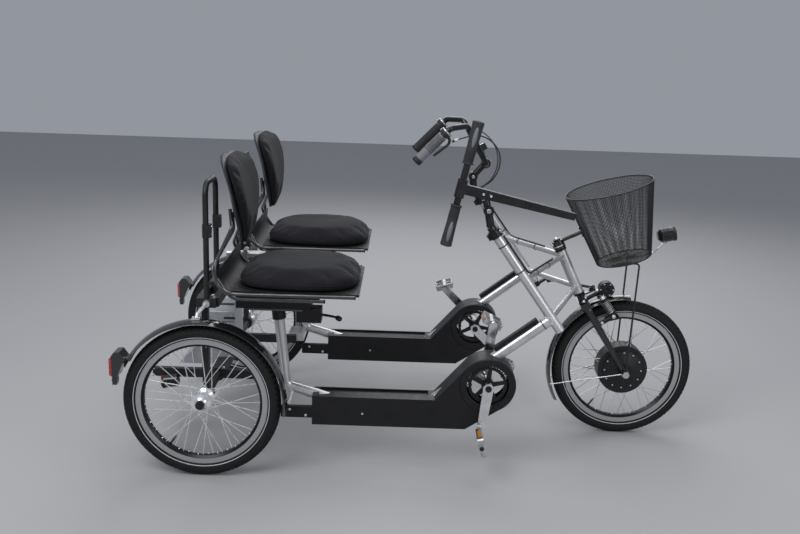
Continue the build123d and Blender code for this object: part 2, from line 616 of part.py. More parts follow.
seat_posts = []
seat_bases = []
seat_rails = []
back_hoops = []
for side_name, side in SIDES.items():
    y = side * RIDER_Y
    post_dir = side_dir(POST_TOP, elbow)
    join = on_line(spine_start, side_dir(elbow, dip), -SEAT_GAP)
    post = bent([at_y(on_line(POST_TOP, post_dir, -20), y), at_y(elbow, y), at_y(join, y)], POST_R, 28)
    post -= Pos(POST_TOP[0], y, POST_TOP[1]) * Box(80, 80, 80, align=CCM)
    link_in = BEAM_Y + BEAM_W / 2 + SEAT_GAP
    post += Pos(BEAM_FRONT - 30, side * (link_in + RIDER_Y) / 2, WHEEL_R) * Box(
        POST_ELBOW_X - BEAM_FRONT + 30, RIDER_Y - link_in, BEAM_H - 6, align=MCC)
    seat_posts.append(post)

    base_mid = SEAT_BACK + SEAT_L / 2
    base = Pos(base_mid, y, BASE_Z) * Box(SEAT_L - 12, 2 * pan_half_w, BASE_T, align=CCM)
    block = Pos(base_mid - 88, y, POST_TOP[1] + SEAT_GAP) * Box(MOUNT_L, MOUNT_W, BASE_Z - POST_TOP[1], align=CCM)
    base += block
    base += Pos(base_mid + 26, y, POST_TOP[1] - 44) * Box(80, 56, 46, align=CCM)
    socket_low = on_line(POST_TOP, post_dir, SOCKET_L)
    base += rod(at_y(on_line(POST_TOP, post_dir, -10), y), at_y(socket_low, y), SOCKET_R)
    base -= rod(at_y(POST_TOP, y), at_y(on_line(POST_TOP, post_dir, SOCKET_L + 9), y), POST_R + SEAT_GAP)
    base -= Pos(POST_TOP[0], y, POST_TOP[1] + SEAT_GAP) * Box(34, 34, 3, align=(Align.CENTER, Align.CENTER, Align.MAX))
    rib_h = LOWER_RAIL_DROP - RAIL_R - SEAT_GAP - BASE_T / 2 + 1.5
    for x in (base_mid - 110, base_mid + 60):
        base += Pos(x, y, BASE_Z) * Box(30, 2 * inner_rail_y, rib_h, align=(Align.CENTER, Align.CENTER, Align.MAX))
    pan_path = FilletPolyline((70, y, PAN_TOP), (62, y, BASE_Z + PAN_T / 2), (SEAT_BACK + 12, y, BASE_Z + PAN_T / 2),
                              radius=40)
    pan_section = Plane(origin=pan_path @ 0, x_dir=(0, 1, 0), z_dir=pan_path % 0) * Rectangle(2 * pan_half_w, PAN_T)
    base += sweep(pan_section, path=pan_path)
    seat_bases.append(base)

    pad = Pos(base_mid, y, SEAT_Z) * Box(SEAT_L, SEAT_W, CUSHION_T, align=CCM)
    pad = fillet(pad.edges().filter_by(Axis.Z), 100)
    pad = fillet(pad.edges().group_by(Axis.Z)[-1], 24)
    save("seat_cushion_" + side_name, pad)

    for end in (-1, 1):
        seat_rails.append(upper_rail(y, end, RAIL_R))
        seat_rails.append(lower_rail(y, end, RAIL_R))

    profile = make_face(Polyline(*BACK_PROFILE, close=True))
    profile = fillet(profile.vertices(), 7)
    back = side_plate(profile, y - BACK_W / 2, y + BACK_W / 2)
    half = BACK_W / 2
    shield = Polyline(
        (-40, 735), (40, 735), (half * 0.78, 868), (half, 950), (half * 0.86, 1010), (half * 0.4, 1045),
        (-half * 0.4, 1045), (-half * 0.86, 1010), (-half, 950), (-half * 0.78, 868), close=True)
    face = make_face(shield)
    face = fillet(face.vertices(), 26)
    shield_block = extrude(Plane(origin=(0, y, 0), x_dir=(0, 1, 0), z_dir=(1, 0, 0)) * face, amount=220)
    back = back & shield_block
    save("backrest_" + side_name, back)

    half = HOOP_W / 2
    foot_z = BASE_Z - 4
    foot_x = SEAT_BACK + 6 - SEAT_GAP
    top_z = HOOP_TOP - HOOP_R
    hoop = bent([(HOOP_X, y - half, ladder_z + LADDER_H + SEAT_GAP), (HOOP_X, y - half, top_z),
                 (HOOP_X, y + half, top_z), (HOOP_X, y + half, ladder_z + LADDER_H + SEAT_GAP)], HOOP_R, 40)
    for end in (-1, 1):
        hoop += Pos(HOOP_X + 4, y + end * half, 790) * Box(26, 22, 42)
        hoop += Pos(HOOP_X, y + end * half, BASE_Z + BASE_T) * Box(
            62 - PAN_T / 2 - SEAT_GAP - HOOP_X, 14, 12, align=(Align.MIN, Align.CENTER, Align.MAX))
    back_hoops.append(hoop)

# Silver bar clamped beside the right seat, between the seats
SIDE_BAR_Y = -RIDER_Y + SEAT_FRAME_W / 2 + 15
SIDE_BAR_Z = 650
SIDE_BAR_R = 11
side_bar = rod((17, SIDE_BAR_Y, SIDE_BAR_Z), (150, SIDE_BAR_Y, SIDE_BAR_Z), SIDE_BAR_R)
side_bar += Pos(84, SIDE_BAR_Y - 6, SIDE_BAR_Z) * Box(14, 36, 38)
side_bar -= upper_rail(-RIDER_Y, 1, RAIL_R + SEAT_GAP)
side_bar -= lower_rail(-RIDER_Y, 1, RAIL_R + SEAT_GAP)
seat_posts.append(max(side_bar.solids(), key=lambda piece: piece.volume))
save_group("seat_posts", seat_posts)
save_group("seat_bases", seat_bases)
save_group("seat_rails", seat_rails)
save_group("back_hoops", back_hoops)


# Fenders, their stays and the lamps
def fender(angle_from, angle_to):
    """Sheet with a crowned cross-section bent round the wheel between two angles from the top."""
    half = FENDER_W / 2
    outer = ThreePointArc((-half, FENDER_R), (0, FENDER_OUT), (half, FENDER_R))
    inner = ThreePointArc((half - FENDER_T, FENDER_R), (0, FENDER_OUT - FENDER_T), (FENDER_T - half, FENDER_R))
    section = make_face(Curve() + [outer, Line(outer @ 1, inner @ 0), inner, Line(inner @ 1, outer @ 0)])
    return Rot(0, angle_from, 0) * revolve(Plane.YZ * section, Axis.Y, angle_to - angle_from)


STAY_TUBE_R = 5
LAMP_W = 52
LAMP_RISE = 80
LAMP_H = 82
lamp_back = -REAR_REACH
lamp_low = WHEEL_R + LAMP_RISE
lamp_profile = Polyline(
    (lamp_back, lamp_low + 6), (lamp_back + 10, lamp_low), (lamp_back + 60, lamp_low),
    (lamp_back + 60, lamp_low + 46), (lamp_back + 34, lamp_low + LAMP_H), (lamp_back + 16, lamp_low + LAMP_H - 2),
    (lamp_back, lamp_low + 58), close=True)
rear_sheet = fender(*REAR_FENDER)
lamps = []
fender_stays = []
for side_name, side in SIDES.items():
    wheel_y = side * WHEEL_Y
    save("rear_fender_" + side_name, Pos(0, wheel_y, WHEEL_R) * rear_sheet)
    lamp = side_plate(make_face(lamp_profile), wheel_y - LAMP_W / 2, wheel_y + LAMP_W / 2)
    lamp += Pos(lamp_back + 12, wheel_y, lamp_low + 4) * Box(16, 20, 36, align=(Align.CENTER, Align.CENTER, Align.MAX))
    lamp += rod((lamp_back + 1, wheel_y, lamp_low - 18), (lamp_back + 10, wheel_y, lamp_low - 18), 6)
    lamp -= rod((0, wheel_y - 60, WHEEL_R), (0, wheel_y + 60, WHEEL_R), FENDER_OUT + SEAT_GAP)
    lamps.append(lamp)
    crown_top = WHEEL_R + FENDER_OUT + SEAT_GAP
    foot = Pos(-14, wheel_y, crown_top - 4) * Box(26, 30, 8, align=CCM)
    foot -= rod((0, wheel_y - 60, WHEEL_R), (0, wheel_y + 60, WHEEL_R), FENDER_OUT + SEAT_GAP)
    strap_y = RIDER_Y + (HOOP_W + HOOP_FOOT_W) / 2 + SEAT_GAP
    strap_end = (10, side * strap_y, ladder_z + LADDER_H / 2)
    foot += rod((-14, wheel_y, crown_top + 2), (-12, wheel_y - side * 8, crown_top + 16), 6)
    foot += rod((-12, wheel_y - side * 8, crown_top + 14), (10, side * (strap_y + 8), strap_end[2]), 6)
    foot += rod(strap_end, (10, side * (strap_y + 12), strap_end[2]), 11)
    fender_stays.append(foot)
    stay_x = FENDER_OUT + SEAT_GAP + STAY_TUBE_R
    stay_start = (POST_ELBOW_X - 4, side * (RIDER_Y + POST_R), elbow[1])
    stay = bent([(elbow[0], side * (RIDER_Y + POST_R + SEAT_GAP - 4), elbow[1]), (stay_x, side * (RIDER_Y + 64), elbow[1]),
                 (stay_x, wheel_y + side * 16, elbow[1])], STAY_TUBE_R, 20)
    post_space = bent([at_y(on_line(POST_TOP, post_dir, -20), side * RIDER_Y), at_y(elbow, side * RIDER_Y),
                       at_y(join, side * RIDER_Y)], POST_R + SEAT_GAP, 28)
    fender_stays.append(max((stay - post_space).solids(), key=lambda piece: piece.volume))
lens_y = -(BEAM_Y + BEAM_W / 2 + SEAT_GAP + 22)
lamps.append(rod((-184, lens_y, WHEEL_R - 26), (-130, lens_y, WHEEL_R - 18), 22))
save_group("tail_lights", lamps)
save_group("fender_stays", fender_stays)

# Passenger's stem and fixed T handle
y = -RIDER_Y
PIVOT_OFFSET = (-33, 86)
HANDLE_BACK = (-123, 153)
HANDLE_FRONT = (239, 74)
HANDLE_W = 26
pivot = (COLUMN_TOP[0] + PIVOT_OFFSET[0], COLUMN_TOP[1] + PIVOT_OFFSET[1])
arm_back = (COLUMN_TOP[0] + HANDLE_BACK[0], COLUMN_TOP[1] + HANDLE_BACK[1])
arm_front = (COLUMN_TOP[0] + HANDLE_FRONT[0], COLUMN_TOP[1] + HANDLE_FRONT[1])
arm_dir = side_dir(arm_back, arm_front)
arm_up = (-arm_dir[1], arm_dir[0])
quill_end = on_line(COLUMN_TOP, up, COLLAR_L + 14)
stem = rod(at_y(on_line(COLUMN_TOP, up, COLLAR_L + SEAT_GAP), y), at_y(quill_end, y), 14)
stem += rod(at_y(quill_end, y), at_y(pivot, y), 13)
stem += rod((pivot[0], y - 18, pivot[1]), (pivot[0], y + 18, pivot[1]), 17)
stem += rod((pivot[0], y - 22, pivot[1]), (pivot[0], y + 22, pivot[1]), 7)
saddle = on_line(on_line(arm_back, arm_dir, 85), arm_up, -17)
stem += rod(at_y(pivot, y), at_y(saddle, y), 12)
arm = make_face(Polyline(
    on_line(arm_back, arm_up, 16), on_line(arm_front, arm_up, 11), on_line(arm_front, arm_up, -11),
    on_line(arm_back, arm_up, -16), close=True))
stem -= side_plate(offset(arm, SEAT_GAP), y - 60, y + 60)
save("passenger_stem", stem)
handle = side_plate(arm, y - HANDLE_W / 2, y + HANDLE_W / 2)
bar_top = on_line(arm_back, arm_up, HANDLE_BAR * 0.53)
bar_low = on_line(arm_back, arm_up, -HANDLE_BAR * 0.47)
handle += rod(at_y(bar_top, y), at_y(bar_low, y), BAR_R)
handle += rod(at_y(on_line(arm_back, arm_up, 30), y), at_y(on_line(arm_back, arm_up, -30), y), BAR_R + 5)
save("passenger_handle", handle)
grips = []
for end, inward in ((bar_top, -1), (bar_low, 1)):
    root = on_line(end, arm_up, inward * GRIP_L)
    grip = rod(at_y(end, y), at_y(root, y), GRIP_R + 2, GRIP_R - 2)
    grips.append(grip - rod(at_y(bar_top, y), at_y(bar_low, y), BAR_R + SEAT_GAP / 3))
save_group("passenger_grips", grips)

# Driver's steering shaft with its lever, stem, handlebar, grips and controls
y = RIDER_Y
SHAFT_TOP = 55.5
SHAFT_LOW = 22
LEVER_AT = 14
GLAND_R = 4.5
GLAND_Y = 6.5
GLAND_RUN = Vector(1, 0, 0.36)
CABLE_R = 2.5
STEM_PIVOT_OFFSET = (-41, 100)
CLAMP_OFFSET = (4, 151)
shaft_top = on_line(COLUMN_TOP, up, SHAFT_TOP)
shaft_low = on_line(COLUMN_BOTTOM, COLUMN_DIR, SHAFT_LOW)
lever_root = on_line(COLUMN_BOTTOM, COLUMN_DIR, LEVER_AT)
column_pin = on_line(lever_root, fwd, LEVER_L)
shaft = rod(at_y(shaft_top, y), at_y(shaft_low, y), SHAFT_R)
shaft += Pos(*at_y(lever_root, y)) * side_turn(fwd) * Pos(LEVER_L / 2, 0, 0) * Box(LEVER_L, 20, 8)
shaft += rod(at_y(on_line(column_pin, COLUMN_DIR, -4), y), at_y(on_line(column_pin, COLUMN_DIR, 4), y), 10)
shaft += rod(at_y(on_line(column_pin, COLUMN_DIR, 4), y), at_y(on_line(column_pin, COLUMN_DIR, 22), y), LEVER_PIN_R)
save("steering_shaft", shaft)
stem_pivot = (COLUMN_TOP[0] + STEM_PIVOT_OFFSET[0], COLUMN_TOP[1] + STEM_PIVOT_OFFSET[1])
clamp = (COLUMN_TOP[0] + CLAMP_OFFSET[0], COLUMN_TOP[1] + CLAMP_OFFSET[1])
dstem = rod(at_y(on_line(COLUMN_TOP, up, COLLAR_L + 1), y), at_y(on_line(COLUMN_TOP, up, 66), y), 15)
dstem += rod(at_y(on_line(COLUMN_TOP, up, 62), y), at_y(stem_pivot, y), 14)
dstem -= rod(at_y(COLUMN_TOP, y), at_y(on_line(shaft_top, up, SEAT_GAP), y), SHAFT_R + SEAT_GAP / 3)
dstem += rod((stem_pivot[0], y - 19, stem_pivot[1]), (stem_pivot[0], y + 19, stem_pivot[1]), 17)
dstem += rod((stem_pivot[0], y - 23, stem_pivot[1]), (stem_pivot[0], y + 23, stem_pivot[1]), 7)
dstem += rod(at_y(stem_pivot, y), at_y(clamp, y), 13)
dstem += rod((clamp[0], y - 22, clamp[1]), (clamp[0], y + 22, clamp[1]), 18)
dstem -= rod((clamp[0], y - 30, clamp[1]), (clamp[0], y + 30, clamp[1]), BAR_R + SEAT_GAP / 3)
gland_face = on_line(on_line(COLUMN_TOP, up, 50), fwd, 23)
for end in (-1, 1):
    root = on_line(gland_face, fwd, -14)
    dstem += rod(at_y(root, y + end * GLAND_Y), at_y(gland_face, y + end * GLAND_Y), GLAND_R)
dstem -= rod(at_y(COLUMN_TOP, y), at_y(on_line(shaft_top, up, SEAT_GAP), y), SHAFT_R + SEAT_GAP / 3)
save("driver_stem", dstem)
half = BAR_W / 2
bar_halves = []
bar_grips = []
controls = []
for end in (-1, 1):
    grip_y = y + end * (half - GRIP_R)
    points = [(clamp[0], y, clamp[1]), (clamp[0], y + end * 48, clamp[1]),
              (clamp[0] - 84, y + end * 125, clamp[1] + 148), (clamp[0] - 146, grip_y, clamp[1] + 144),
              (clamp[0] - 264, grip_y, clamp[1] + 22)]
    bar_halves.append(bent(points, BAR_R, 22))
    last, before = Vector(points[4]), Vector(points[3])
    run = (last - before).normalized()
    g0 = last - run * GRIP_L
    bar_grips.append(rod(g0, last + run * 2, GRIP_R) - rod(g0 - run * 9, last, BAR_R + SEAT_GAP / 3))
    bar_space = rod(g0 - run * 25, last, BAR_R + SEAT_GAP / 3)
    shifter = rod(g0 - run * 24, g0 - run * (WORKING_GAP / 2), GRIP_R + 4, GRIP_R + 1)
    perch = g0 - run * 14
    knee = perch + Vector(26, -end * 14, -30)
    tip = perch + Vector(-40, -end * 4, -82)
    lever = bent([perch + Vector(8, -end * 4, -12), knee, tip], 5, 20)
    outlet = knee + GLAND_RUN * 14 + Vector(0, -end * 3, 0)
    gland = rod(knee, outlet, GLAND_R)
    controls.append(shifter + lever + gland - bar_space)
    exit_run = (outlet - knee).normalized()
    entry = Vector(gland_face[0], y + end * GLAND_Y, gland_face[1])
    route = [outlet + exit_run * SEAT_GAP, outlet + exit_run * 45, (clamp[0] - 28, y + end * 132, clamp[1] + 118),
             (clamp[0] + 22, y + end * 98, clamp[1] + 86), (clamp[0] + 49, y + end * 62, clamp[1] + 41),
             (clamp[0] + 52, y + end * 34, clamp[1] - 14), (clamp[0] + 29, y + end * 16, clamp[1] - 64),
             entry + Vector(fwd[0], 0, fwd[1]) * 22, entry + Vector(fwd[0], 0, fwd[1]) * SEAT_GAP]
    save("brake_cable_" + ("right" if end < 0 else "left"), hose(route, CABLE_R))
save("driver_handlebar", bar_halves[0] + bar_halves[1])
save_group("driver_grips", bar_grips)
display = Pos(clamp[0] - 22, y, clamp[1] + 58) * Rot(0, -30, 0) * Box(44, 62, 24)
display += rod((clamp[0], y, clamp[1]), (clamp[0] - 22, y, clamp[1] + 58), 9)
display -= rod((clamp[0], y - 40, clamp[1]), (clamp[0], y + 40, clamp[1]), 18 + SEAT_GAP)
controls.append(max(display.solids(), key=lambda piece: piece.volume))
save_group("driver_controls", controls)

# Fork with crown, lever, top nuts and the arm that holds the basket
crown = on_line(HEAD_BOTTOM, HEAD_DIR, CROWN_DROP)
wheel_centre = (WHEELBASE, WHEEL_R)
NUT_LOW = 9
NUT_HIGH = 38
fork = rod(at_y(on_line(HEAD_TOP, head_up, NUT_HIGH + 6), 0), at_y(crown, 0), STEERER_R)
fork += Pos(*at_y(crown, 0)) * side_turn(head_fwd) * Box(CROWN_L, 2 * FORK_HALF_W + 16, CROWN_T)
for side in (-1, 1):
    leg_y = side * FORK_HALF_W
    fork += rod(at_y(on_line(crown, head_up, 12), leg_y), at_y(wheel_centre, leg_y), FORK_LEG_R, FORK_TIP_R)
    fork += rod((WHEELBASE, leg_y - 5, WHEEL_R), (WHEELBASE, leg_y + 5, WHEEL_R), 16)
fork += rod((WHEELBASE, -FORK_HALF_W - 24, WHEEL_R), (WHEELBASE, FORK_HALF_W + 24, WHEEL_R), MOTOR_SHAFT_R)
lever_root = on_line(HEAD_BOTTOM, HEAD_DIR, LEVER_DROP)
fork_pin = on_line(lever_root, head_fwd, LEVER_L)
fork += Pos(*at_y(lever_root, 0)) * side_turn(head_fwd) * Pos(LEVER_L / 2, 0, 0) * Box(LEVER_L, 20, 6)
fork += rod(at_y(on_line(fork_pin, head_up, -3), 0), at_y(on_line(fork_pin, head_up, 3), 0), 10)
fork += rod(at_y(fork_pin, 0), at_y(on_line(fork_pin, head_up, 18), 0), LEVER_PIN_R)
fork += rod(at_y(on_line(HEAD_TOP, head_up, NUT_LOW), 0), at_y(on_line(HEAD_TOP, head_up, NUT_HIGH), 0), HEAD_R + 4)
crown_dir = side_dir(crown, wheel_centre)
fender_seat = on_line(wheel_centre, crown_dir, -(FENDER_OUT + SEAT_GAP))
fork += rod(at_y(crown, 0), at_y(fender_seat, 0), 9)

basket_place = Pos(HEAD_TOP[0] + BASKET_FORWARD, 0, HEAD_TOP[1] + BASKET_UP) * Rot(0, BASKET_TILT, 0)
basket_slope = degrees(atan2(BASKET_TOP_R - BASKET_LOW_R, BASKET_H))


def basket_point(x, y, z):
    """Point given in the basket's own frame, whose origin is the rim's middle."""
    return (basket_place * Pos(x, y, z)).position


GRIP_DROP = 130
wall_r = BASKET_TOP_R - (BASKET_TOP_R - BASKET_LOW_R) * GRIP_DROP / BASKET_H
out = Vector(-cos(radians(basket_slope)), 0, -sin(radians(basket_slope)))
pad_in = basket_point(-wall_r + out.X * SEAT_GAP, 0, -GRIP_DROP + out.Z * SEAT_GAP)
pad_out = basket_point(-wall_r + out.X * (SEAT_GAP + 5), 0, -GRIP_DROP + out.Z * (SEAT_GAP + 5))
arm_end = basket_point(-wall_r + out.X * 26, 0, -GRIP_DROP + out.Z * 26)
nut_side = on_line(on_line(HEAD_TOP, head_up, NUT_HIGH - 6), head_fwd, HEAD_R - 4)
basket_arm = bent([at_y(nut_side, 0), at_y(on_line(nut_side, head_fwd, 34), 0), (arm_end.X, 0, arm_end.Z),
                   (pad_out.X, 0, pad_out.Z)], 8, [12, 9])
fork += basket_arm
fork += rod(pad_in, pad_out, 20)
save("fork", fork)

# Front brake: an arm with a rim pad on each side, and the round housing in front of the crown
brake_parts = []
leg_run = side_dir(crown, wheel_centre)
leg_out = (-leg_run[1], leg_run[0])
pad_r = RIM_R - RIM_BAND / 2
boss = on_line(wheel_centre, leg_run, -(pad_r + 2))
for side in (-1, 1):
    low = on_line(boss, leg_out, 66)
    high = on_line(low, leg_run, -74)
    body = rod(at_y(low, side * 52), at_y(high, side * 50), 13)
    body += rod(at_y(on_line(boss, leg_out, 4), side * 60), at_y(low, side * 54), 8)
    body -= rod(at_y(on_line(crown, head_up, 12), side * FORK_HALF_W), at_y(wheel_centre, side * FORK_HALF_W),
                FORK_LEG_R + SEAT_GAP, FORK_TIP_R + SEAT_GAP)
    pad_mid = on_line(low, leg_run, -6)
    pad_dir = side_dir(wheel_centre, pad_mid)
    pad_at = on_line(wheel_centre, pad_dir, pad_r)
    body += Pos(*at_y(pad_at, side * (RIM_W / 2 + WORKING_GAP))) * side_turn(pad_dir) * Box(
        10, 30, 46, align=(Align.CENTER, Align.MIN if side > 0 else Align.MAX, Align.CENTER))
    brake_parts.append(body)
housing_mid = on_line(crown, head_fwd, 94)
housing_at = on_line(housing_mid, head_up, 8)
housing = rod(at_y(housing_at, -17), at_y(housing_at, 17), 27)
housing += rod(at_y(crown, 0), at_y(housing_at, 0), 7)
housing -= Pos(*at_y(crown, 0)) * side_turn(head_fwd) * Box(CROWN_L + 2 * SEAT_GAP, 40, 4 * CROWN_T)
housing -= rod((WHEELBASE, -90, WHEEL_R), (WHEELBASE, 90, WHEEL_R), FENDER_OUT + 2)
brake_parts.append(max(housing.solids(), key=lambda piece: piece.volume))
save_group("front_brake", brake_parts)

# Front fender with its wire stays
front_parts = [front_centre * fender(*FRONT_FENDER)]
for side in (-1, 1):
    clip = radians(REAR_FENDER[0] - 40)
    clip_at = (WHEELBASE + sin(clip) * FENDER_R, side * (FENDER_W / 2 + 2.2 + SEAT_GAP), WHEEL_R + cos(clip) * FENDER_R)
    stay_y = side * (FORK_HALF_W + 14)
    stay = rod(clip_at, (WHEELBASE - 12, stay_y, WHEEL_R - 2), 2.2)
    stay += rod((WHEELBASE, stay_y - 1.5, WHEEL_R), (WHEELBASE, stay_y + 1.5, WHEEL_R), 13)
    stay -= rod((WHEELBASE, -99, WHEEL_R), (WHEELBASE, 99, WHEEL_R), MOTOR_SHAFT_R + SEAT_GAP)
    front_parts.append(stay)
save_group("front_fender", front_parts)

# Basket, its stays down to the axle, and the headlight on its bracket
wire = BASKET_WALL / 2 + 1
outer = basket_place * Pos(0, 0, -BASKET_H) * Cone(BASKET_LOW_R, BASKET_TOP_R, BASKET_H, align=CCM)
inner = basket_place * Pos(0, 0, BASKET_WALL - BASKET_H) * Cone(
    BASKET_LOW_R - BASKET_WALL, BASKET_TOP_R - BASKET_WALL, BASKET_H, align=CCM)
openings = []
row_h = (BASKET_H - BASKET_BAR) / BASKET_ROWS
for row in range(BASKET_ROWS):
    level = -BASKET_H + BASKET_BAR + row_h * (row + 0.5)
    wall_at = BASKET_TOP_R + (BASKET_TOP_R - BASKET_LOW_R) * level / BASKET_H
    wide = 2 * wall_at * sin(radians(180 / BASKET_COLUMNS)) - BASKET_BAR
    for column in range(BASKET_COLUMNS):
        turn = Rot(0, 0, 360 / BASKET_COLUMNS * (column + 0.5))
        openings.append(basket_place * turn * Pos(wall_at, 0, level) * Box(30, wide, row_h - BASKET_BAR))
floor_pitch = 2 * BASKET_LOW_R / BASKET_ACROSS
floor_disc = Pos(0, 0, -BASKET_H) * Cylinder(BASKET_LOW_R - BASKET_BAR, 4 * BASKET_WALL)
for i in range(BASKET_ACROSS):
    for j in range(BASKET_ACROSS):
        spot = Vector(floor_pitch * (i + 0.5) - BASKET_LOW_R, floor_pitch * (j + 0.5) - BASKET_LOW_R, -BASKET_H)
        if hypot(spot.X, spot.Y) < BASKET_LOW_R - BASKET_BAR:
            hole = Pos(spot) * Box(floor_pitch - BASKET_BAR, floor_pitch - BASKET_BAR, 4 * BASKET_WALL)
            openings.append(basket_place * (hole & floor_disc))
basket = outer - inner - openings + basket_place * Torus(BASKET_TOP_R - BASKET_WALL / 2, wire)
save("basket", basket)
under = -BASKET_H - SEAT_GAP - STAY_R
stays = []
for end in (-1, 1):
    foot_y = end * (FORK_HALF_W + 20)
    stays.append(bent([basket_point(-52, end * 40, under), basket_point(0, end * 52, under),
                       basket_point(34, end * 88, under - 4), (WHEELBASE, foot_y, WHEEL_R + 9)], STAY_R, [14, 9])
                 + rod((WHEELBASE, foot_y - 1.5, WHEEL_R), (WHEELBASE, foot_y + 1.5, WHEEL_R), 12)
                 - rod((WHEELBASE, -99, WHEEL_R), (WHEELBASE, 99, WHEEL_R), MOTOR_SHAFT_R + SEAT_GAP))
save_group("basket_stays", stays)
LAMP_TILT = 12
lamp_foot = basket_point(BASKET_LOW_R + 10, 0, -BASKET_H - SEAT_GAP - 4)
lamp_at = Pos(lamp_foot.X + 38, 0, lamp_foot.Z + 66) * Rot(0, -LAMP_TILT, 0)
lamp = lamp_at * Rot(0, 90, 0) * Cylinder(25, 40)
lamp += lamp_at * Rot(0, 90, 0) * Pos(0, 0, 20) * Cone(25, 27, 10, align=CCM)
lamp += lamp_at * Rot(0, 90, 0) * Pos(0, 0, -32) * Cone(14, 25, 12, align=CCM)
lamp_low = (lamp_at * Pos(-6, 0, -22)).position
lamp += bent([basket_point(22, 0, -BASKET_H - SEAT_GAP - 4), lamp_foot, lamp_low], 4, 9)
save("headlight", lamp)

# Tie rod from the column's lever to the fork's lever, with an open eye at the fork
column_eye = [at_y(on_line(column_pin, COLUMN_DIR, d), RIDER_Y) for d in (8, 18)]
fork_eye = [at_y(on_line(fork_pin, head_up, d), 0) for d in (6, 14)]
tie = rod(along(*column_eye, 0.5), along(*fork_eye, 0.5), TIE_ROD_R)
tie += rod(*column_eye, 12) + rod(*fork_eye, 11)
tie -= rod(at_y(column_pin, RIDER_Y), at_y(on_line(column_pin, COLUMN_DIR, 30), RIDER_Y), LEVER_PIN_R + SEAT_GAP)
tie -= rod(at_y(fork_pin, 0), at_y(on_line(fork_pin, head_up, 30), 0), LEVER_PIN_R + PIN_PLAY)
save("tie_rod", tie)
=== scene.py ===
import bmesh
import bpy
from math import atan2, cos, exp, hypot, pi, radians, sin
from mathutils import Matrix, Vector, noise


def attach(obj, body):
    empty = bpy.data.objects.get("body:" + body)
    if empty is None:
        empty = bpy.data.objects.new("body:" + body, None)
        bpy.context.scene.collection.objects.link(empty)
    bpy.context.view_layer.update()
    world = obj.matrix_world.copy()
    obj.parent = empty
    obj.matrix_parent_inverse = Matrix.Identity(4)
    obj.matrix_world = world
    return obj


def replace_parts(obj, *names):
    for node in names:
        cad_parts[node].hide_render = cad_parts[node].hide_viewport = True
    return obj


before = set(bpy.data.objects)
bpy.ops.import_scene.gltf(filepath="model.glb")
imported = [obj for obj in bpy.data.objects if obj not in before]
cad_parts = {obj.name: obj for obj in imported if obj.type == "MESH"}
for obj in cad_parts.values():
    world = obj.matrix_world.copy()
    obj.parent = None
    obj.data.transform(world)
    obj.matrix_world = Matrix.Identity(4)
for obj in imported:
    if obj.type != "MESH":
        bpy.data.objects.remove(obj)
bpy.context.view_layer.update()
scene = bpy.context.scene


# Camera: the photograph's place and angle, fitted to the three wheels and the like pairs of parts.
def put(name, data):
    """New object in the scene."""
    made = bpy.data.objects.new(name, data)
    scene.collection.objects.link(made)
    return made


camera_data = bpy.data.cameras.new("camera")
camera_data.sensor_width = 36
camera_data.lens = 42.937
CAMERA_AT = Vector((-0.0787, -3.2897, 1.4057))
YAW, PITCH, ROLL = -0.00121, 0.24142, 0.03261
ahead = Vector((sin(YAW) * cos(PITCH), cos(YAW) * cos(PITCH), -sin(PITCH)))
level = Vector((cos(YAW), -sin(YAW), 0))
upright = level.cross(ahead)
across = cos(ROLL) * level + sin(ROLL) * upright
above = -sin(ROLL) * level + cos(ROLL) * upright
scene.camera = put("camera", camera_data)
scene.camera.matrix_world = Matrix.Translation(CAMERA_AT) @ Matrix((across, above, -ahead)).transposed().to_4x4()


# Studio: a plain pale floor under large soft lights.
def shader_of(made):
    """A finish's own shader."""
    return made.node_tree.nodes["Principled BSDF"]


def finish_of(name, colour, roughness, metallic=0.0, coat=0.0, **sockets):
    """New material with its shader's own sockets set."""
    made = bpy.data.materials.new(name)
    made.use_nodes = True
    values = {"Base Color": (*colour, 1), "Roughness": roughness, "Metallic": metallic, "Coat Weight": coat,
              **sockets}
    for label, value in values.items():
        shader_of(made).inputs[label.replace("_", " ")].default_value = value
    made.diffuse_color = (*colour, 1)
    return made


floor_mesh = bpy.data.meshes.new("floor")
floor_mesh.from_pydata([(-9, -6, 0), (9, -6, 0), (9, 9, 0), (-9, 9, 0)], [], [(0, 1, 2, 3)])
floor_mesh.materials.append(finish_of("floor", (0.42, 0.42, 0.43), 0.8))
put("floor", floor_mesh)
for name, place, size, power in (("key", (-1.8, -2.4, 3.4), 2.2, 76), ("fill", (2.6, -2.6, 1.8), 1.8, 26),
                                 ("back", (0.3, 3.0, 3.0), 3.2, 62), ("top", (0.2, 0.0, 3.6), 2.0, 26)):
    light_data = bpy.data.lights.new(name, "AREA")
    light_data.energy = power
    light_data.size = size
    light = put(name, light_data)
    light.location = place
    light.rotation_euler = (Vector((0, 0, 0.5)) - Vector(place)).to_track_quat("-Z", "Y").to_euler()
scene.world = bpy.data.worlds.new("world")
scene.world.use_nodes = True
sky = scene.world.node_tree.nodes["Background"]
sky.inputs["Color"].default_value = (0.8, 0.85, 0.95, 1)
sky.inputs["Strength"].default_value = 0.36
scene.view_settings.view_transform = "Standard"


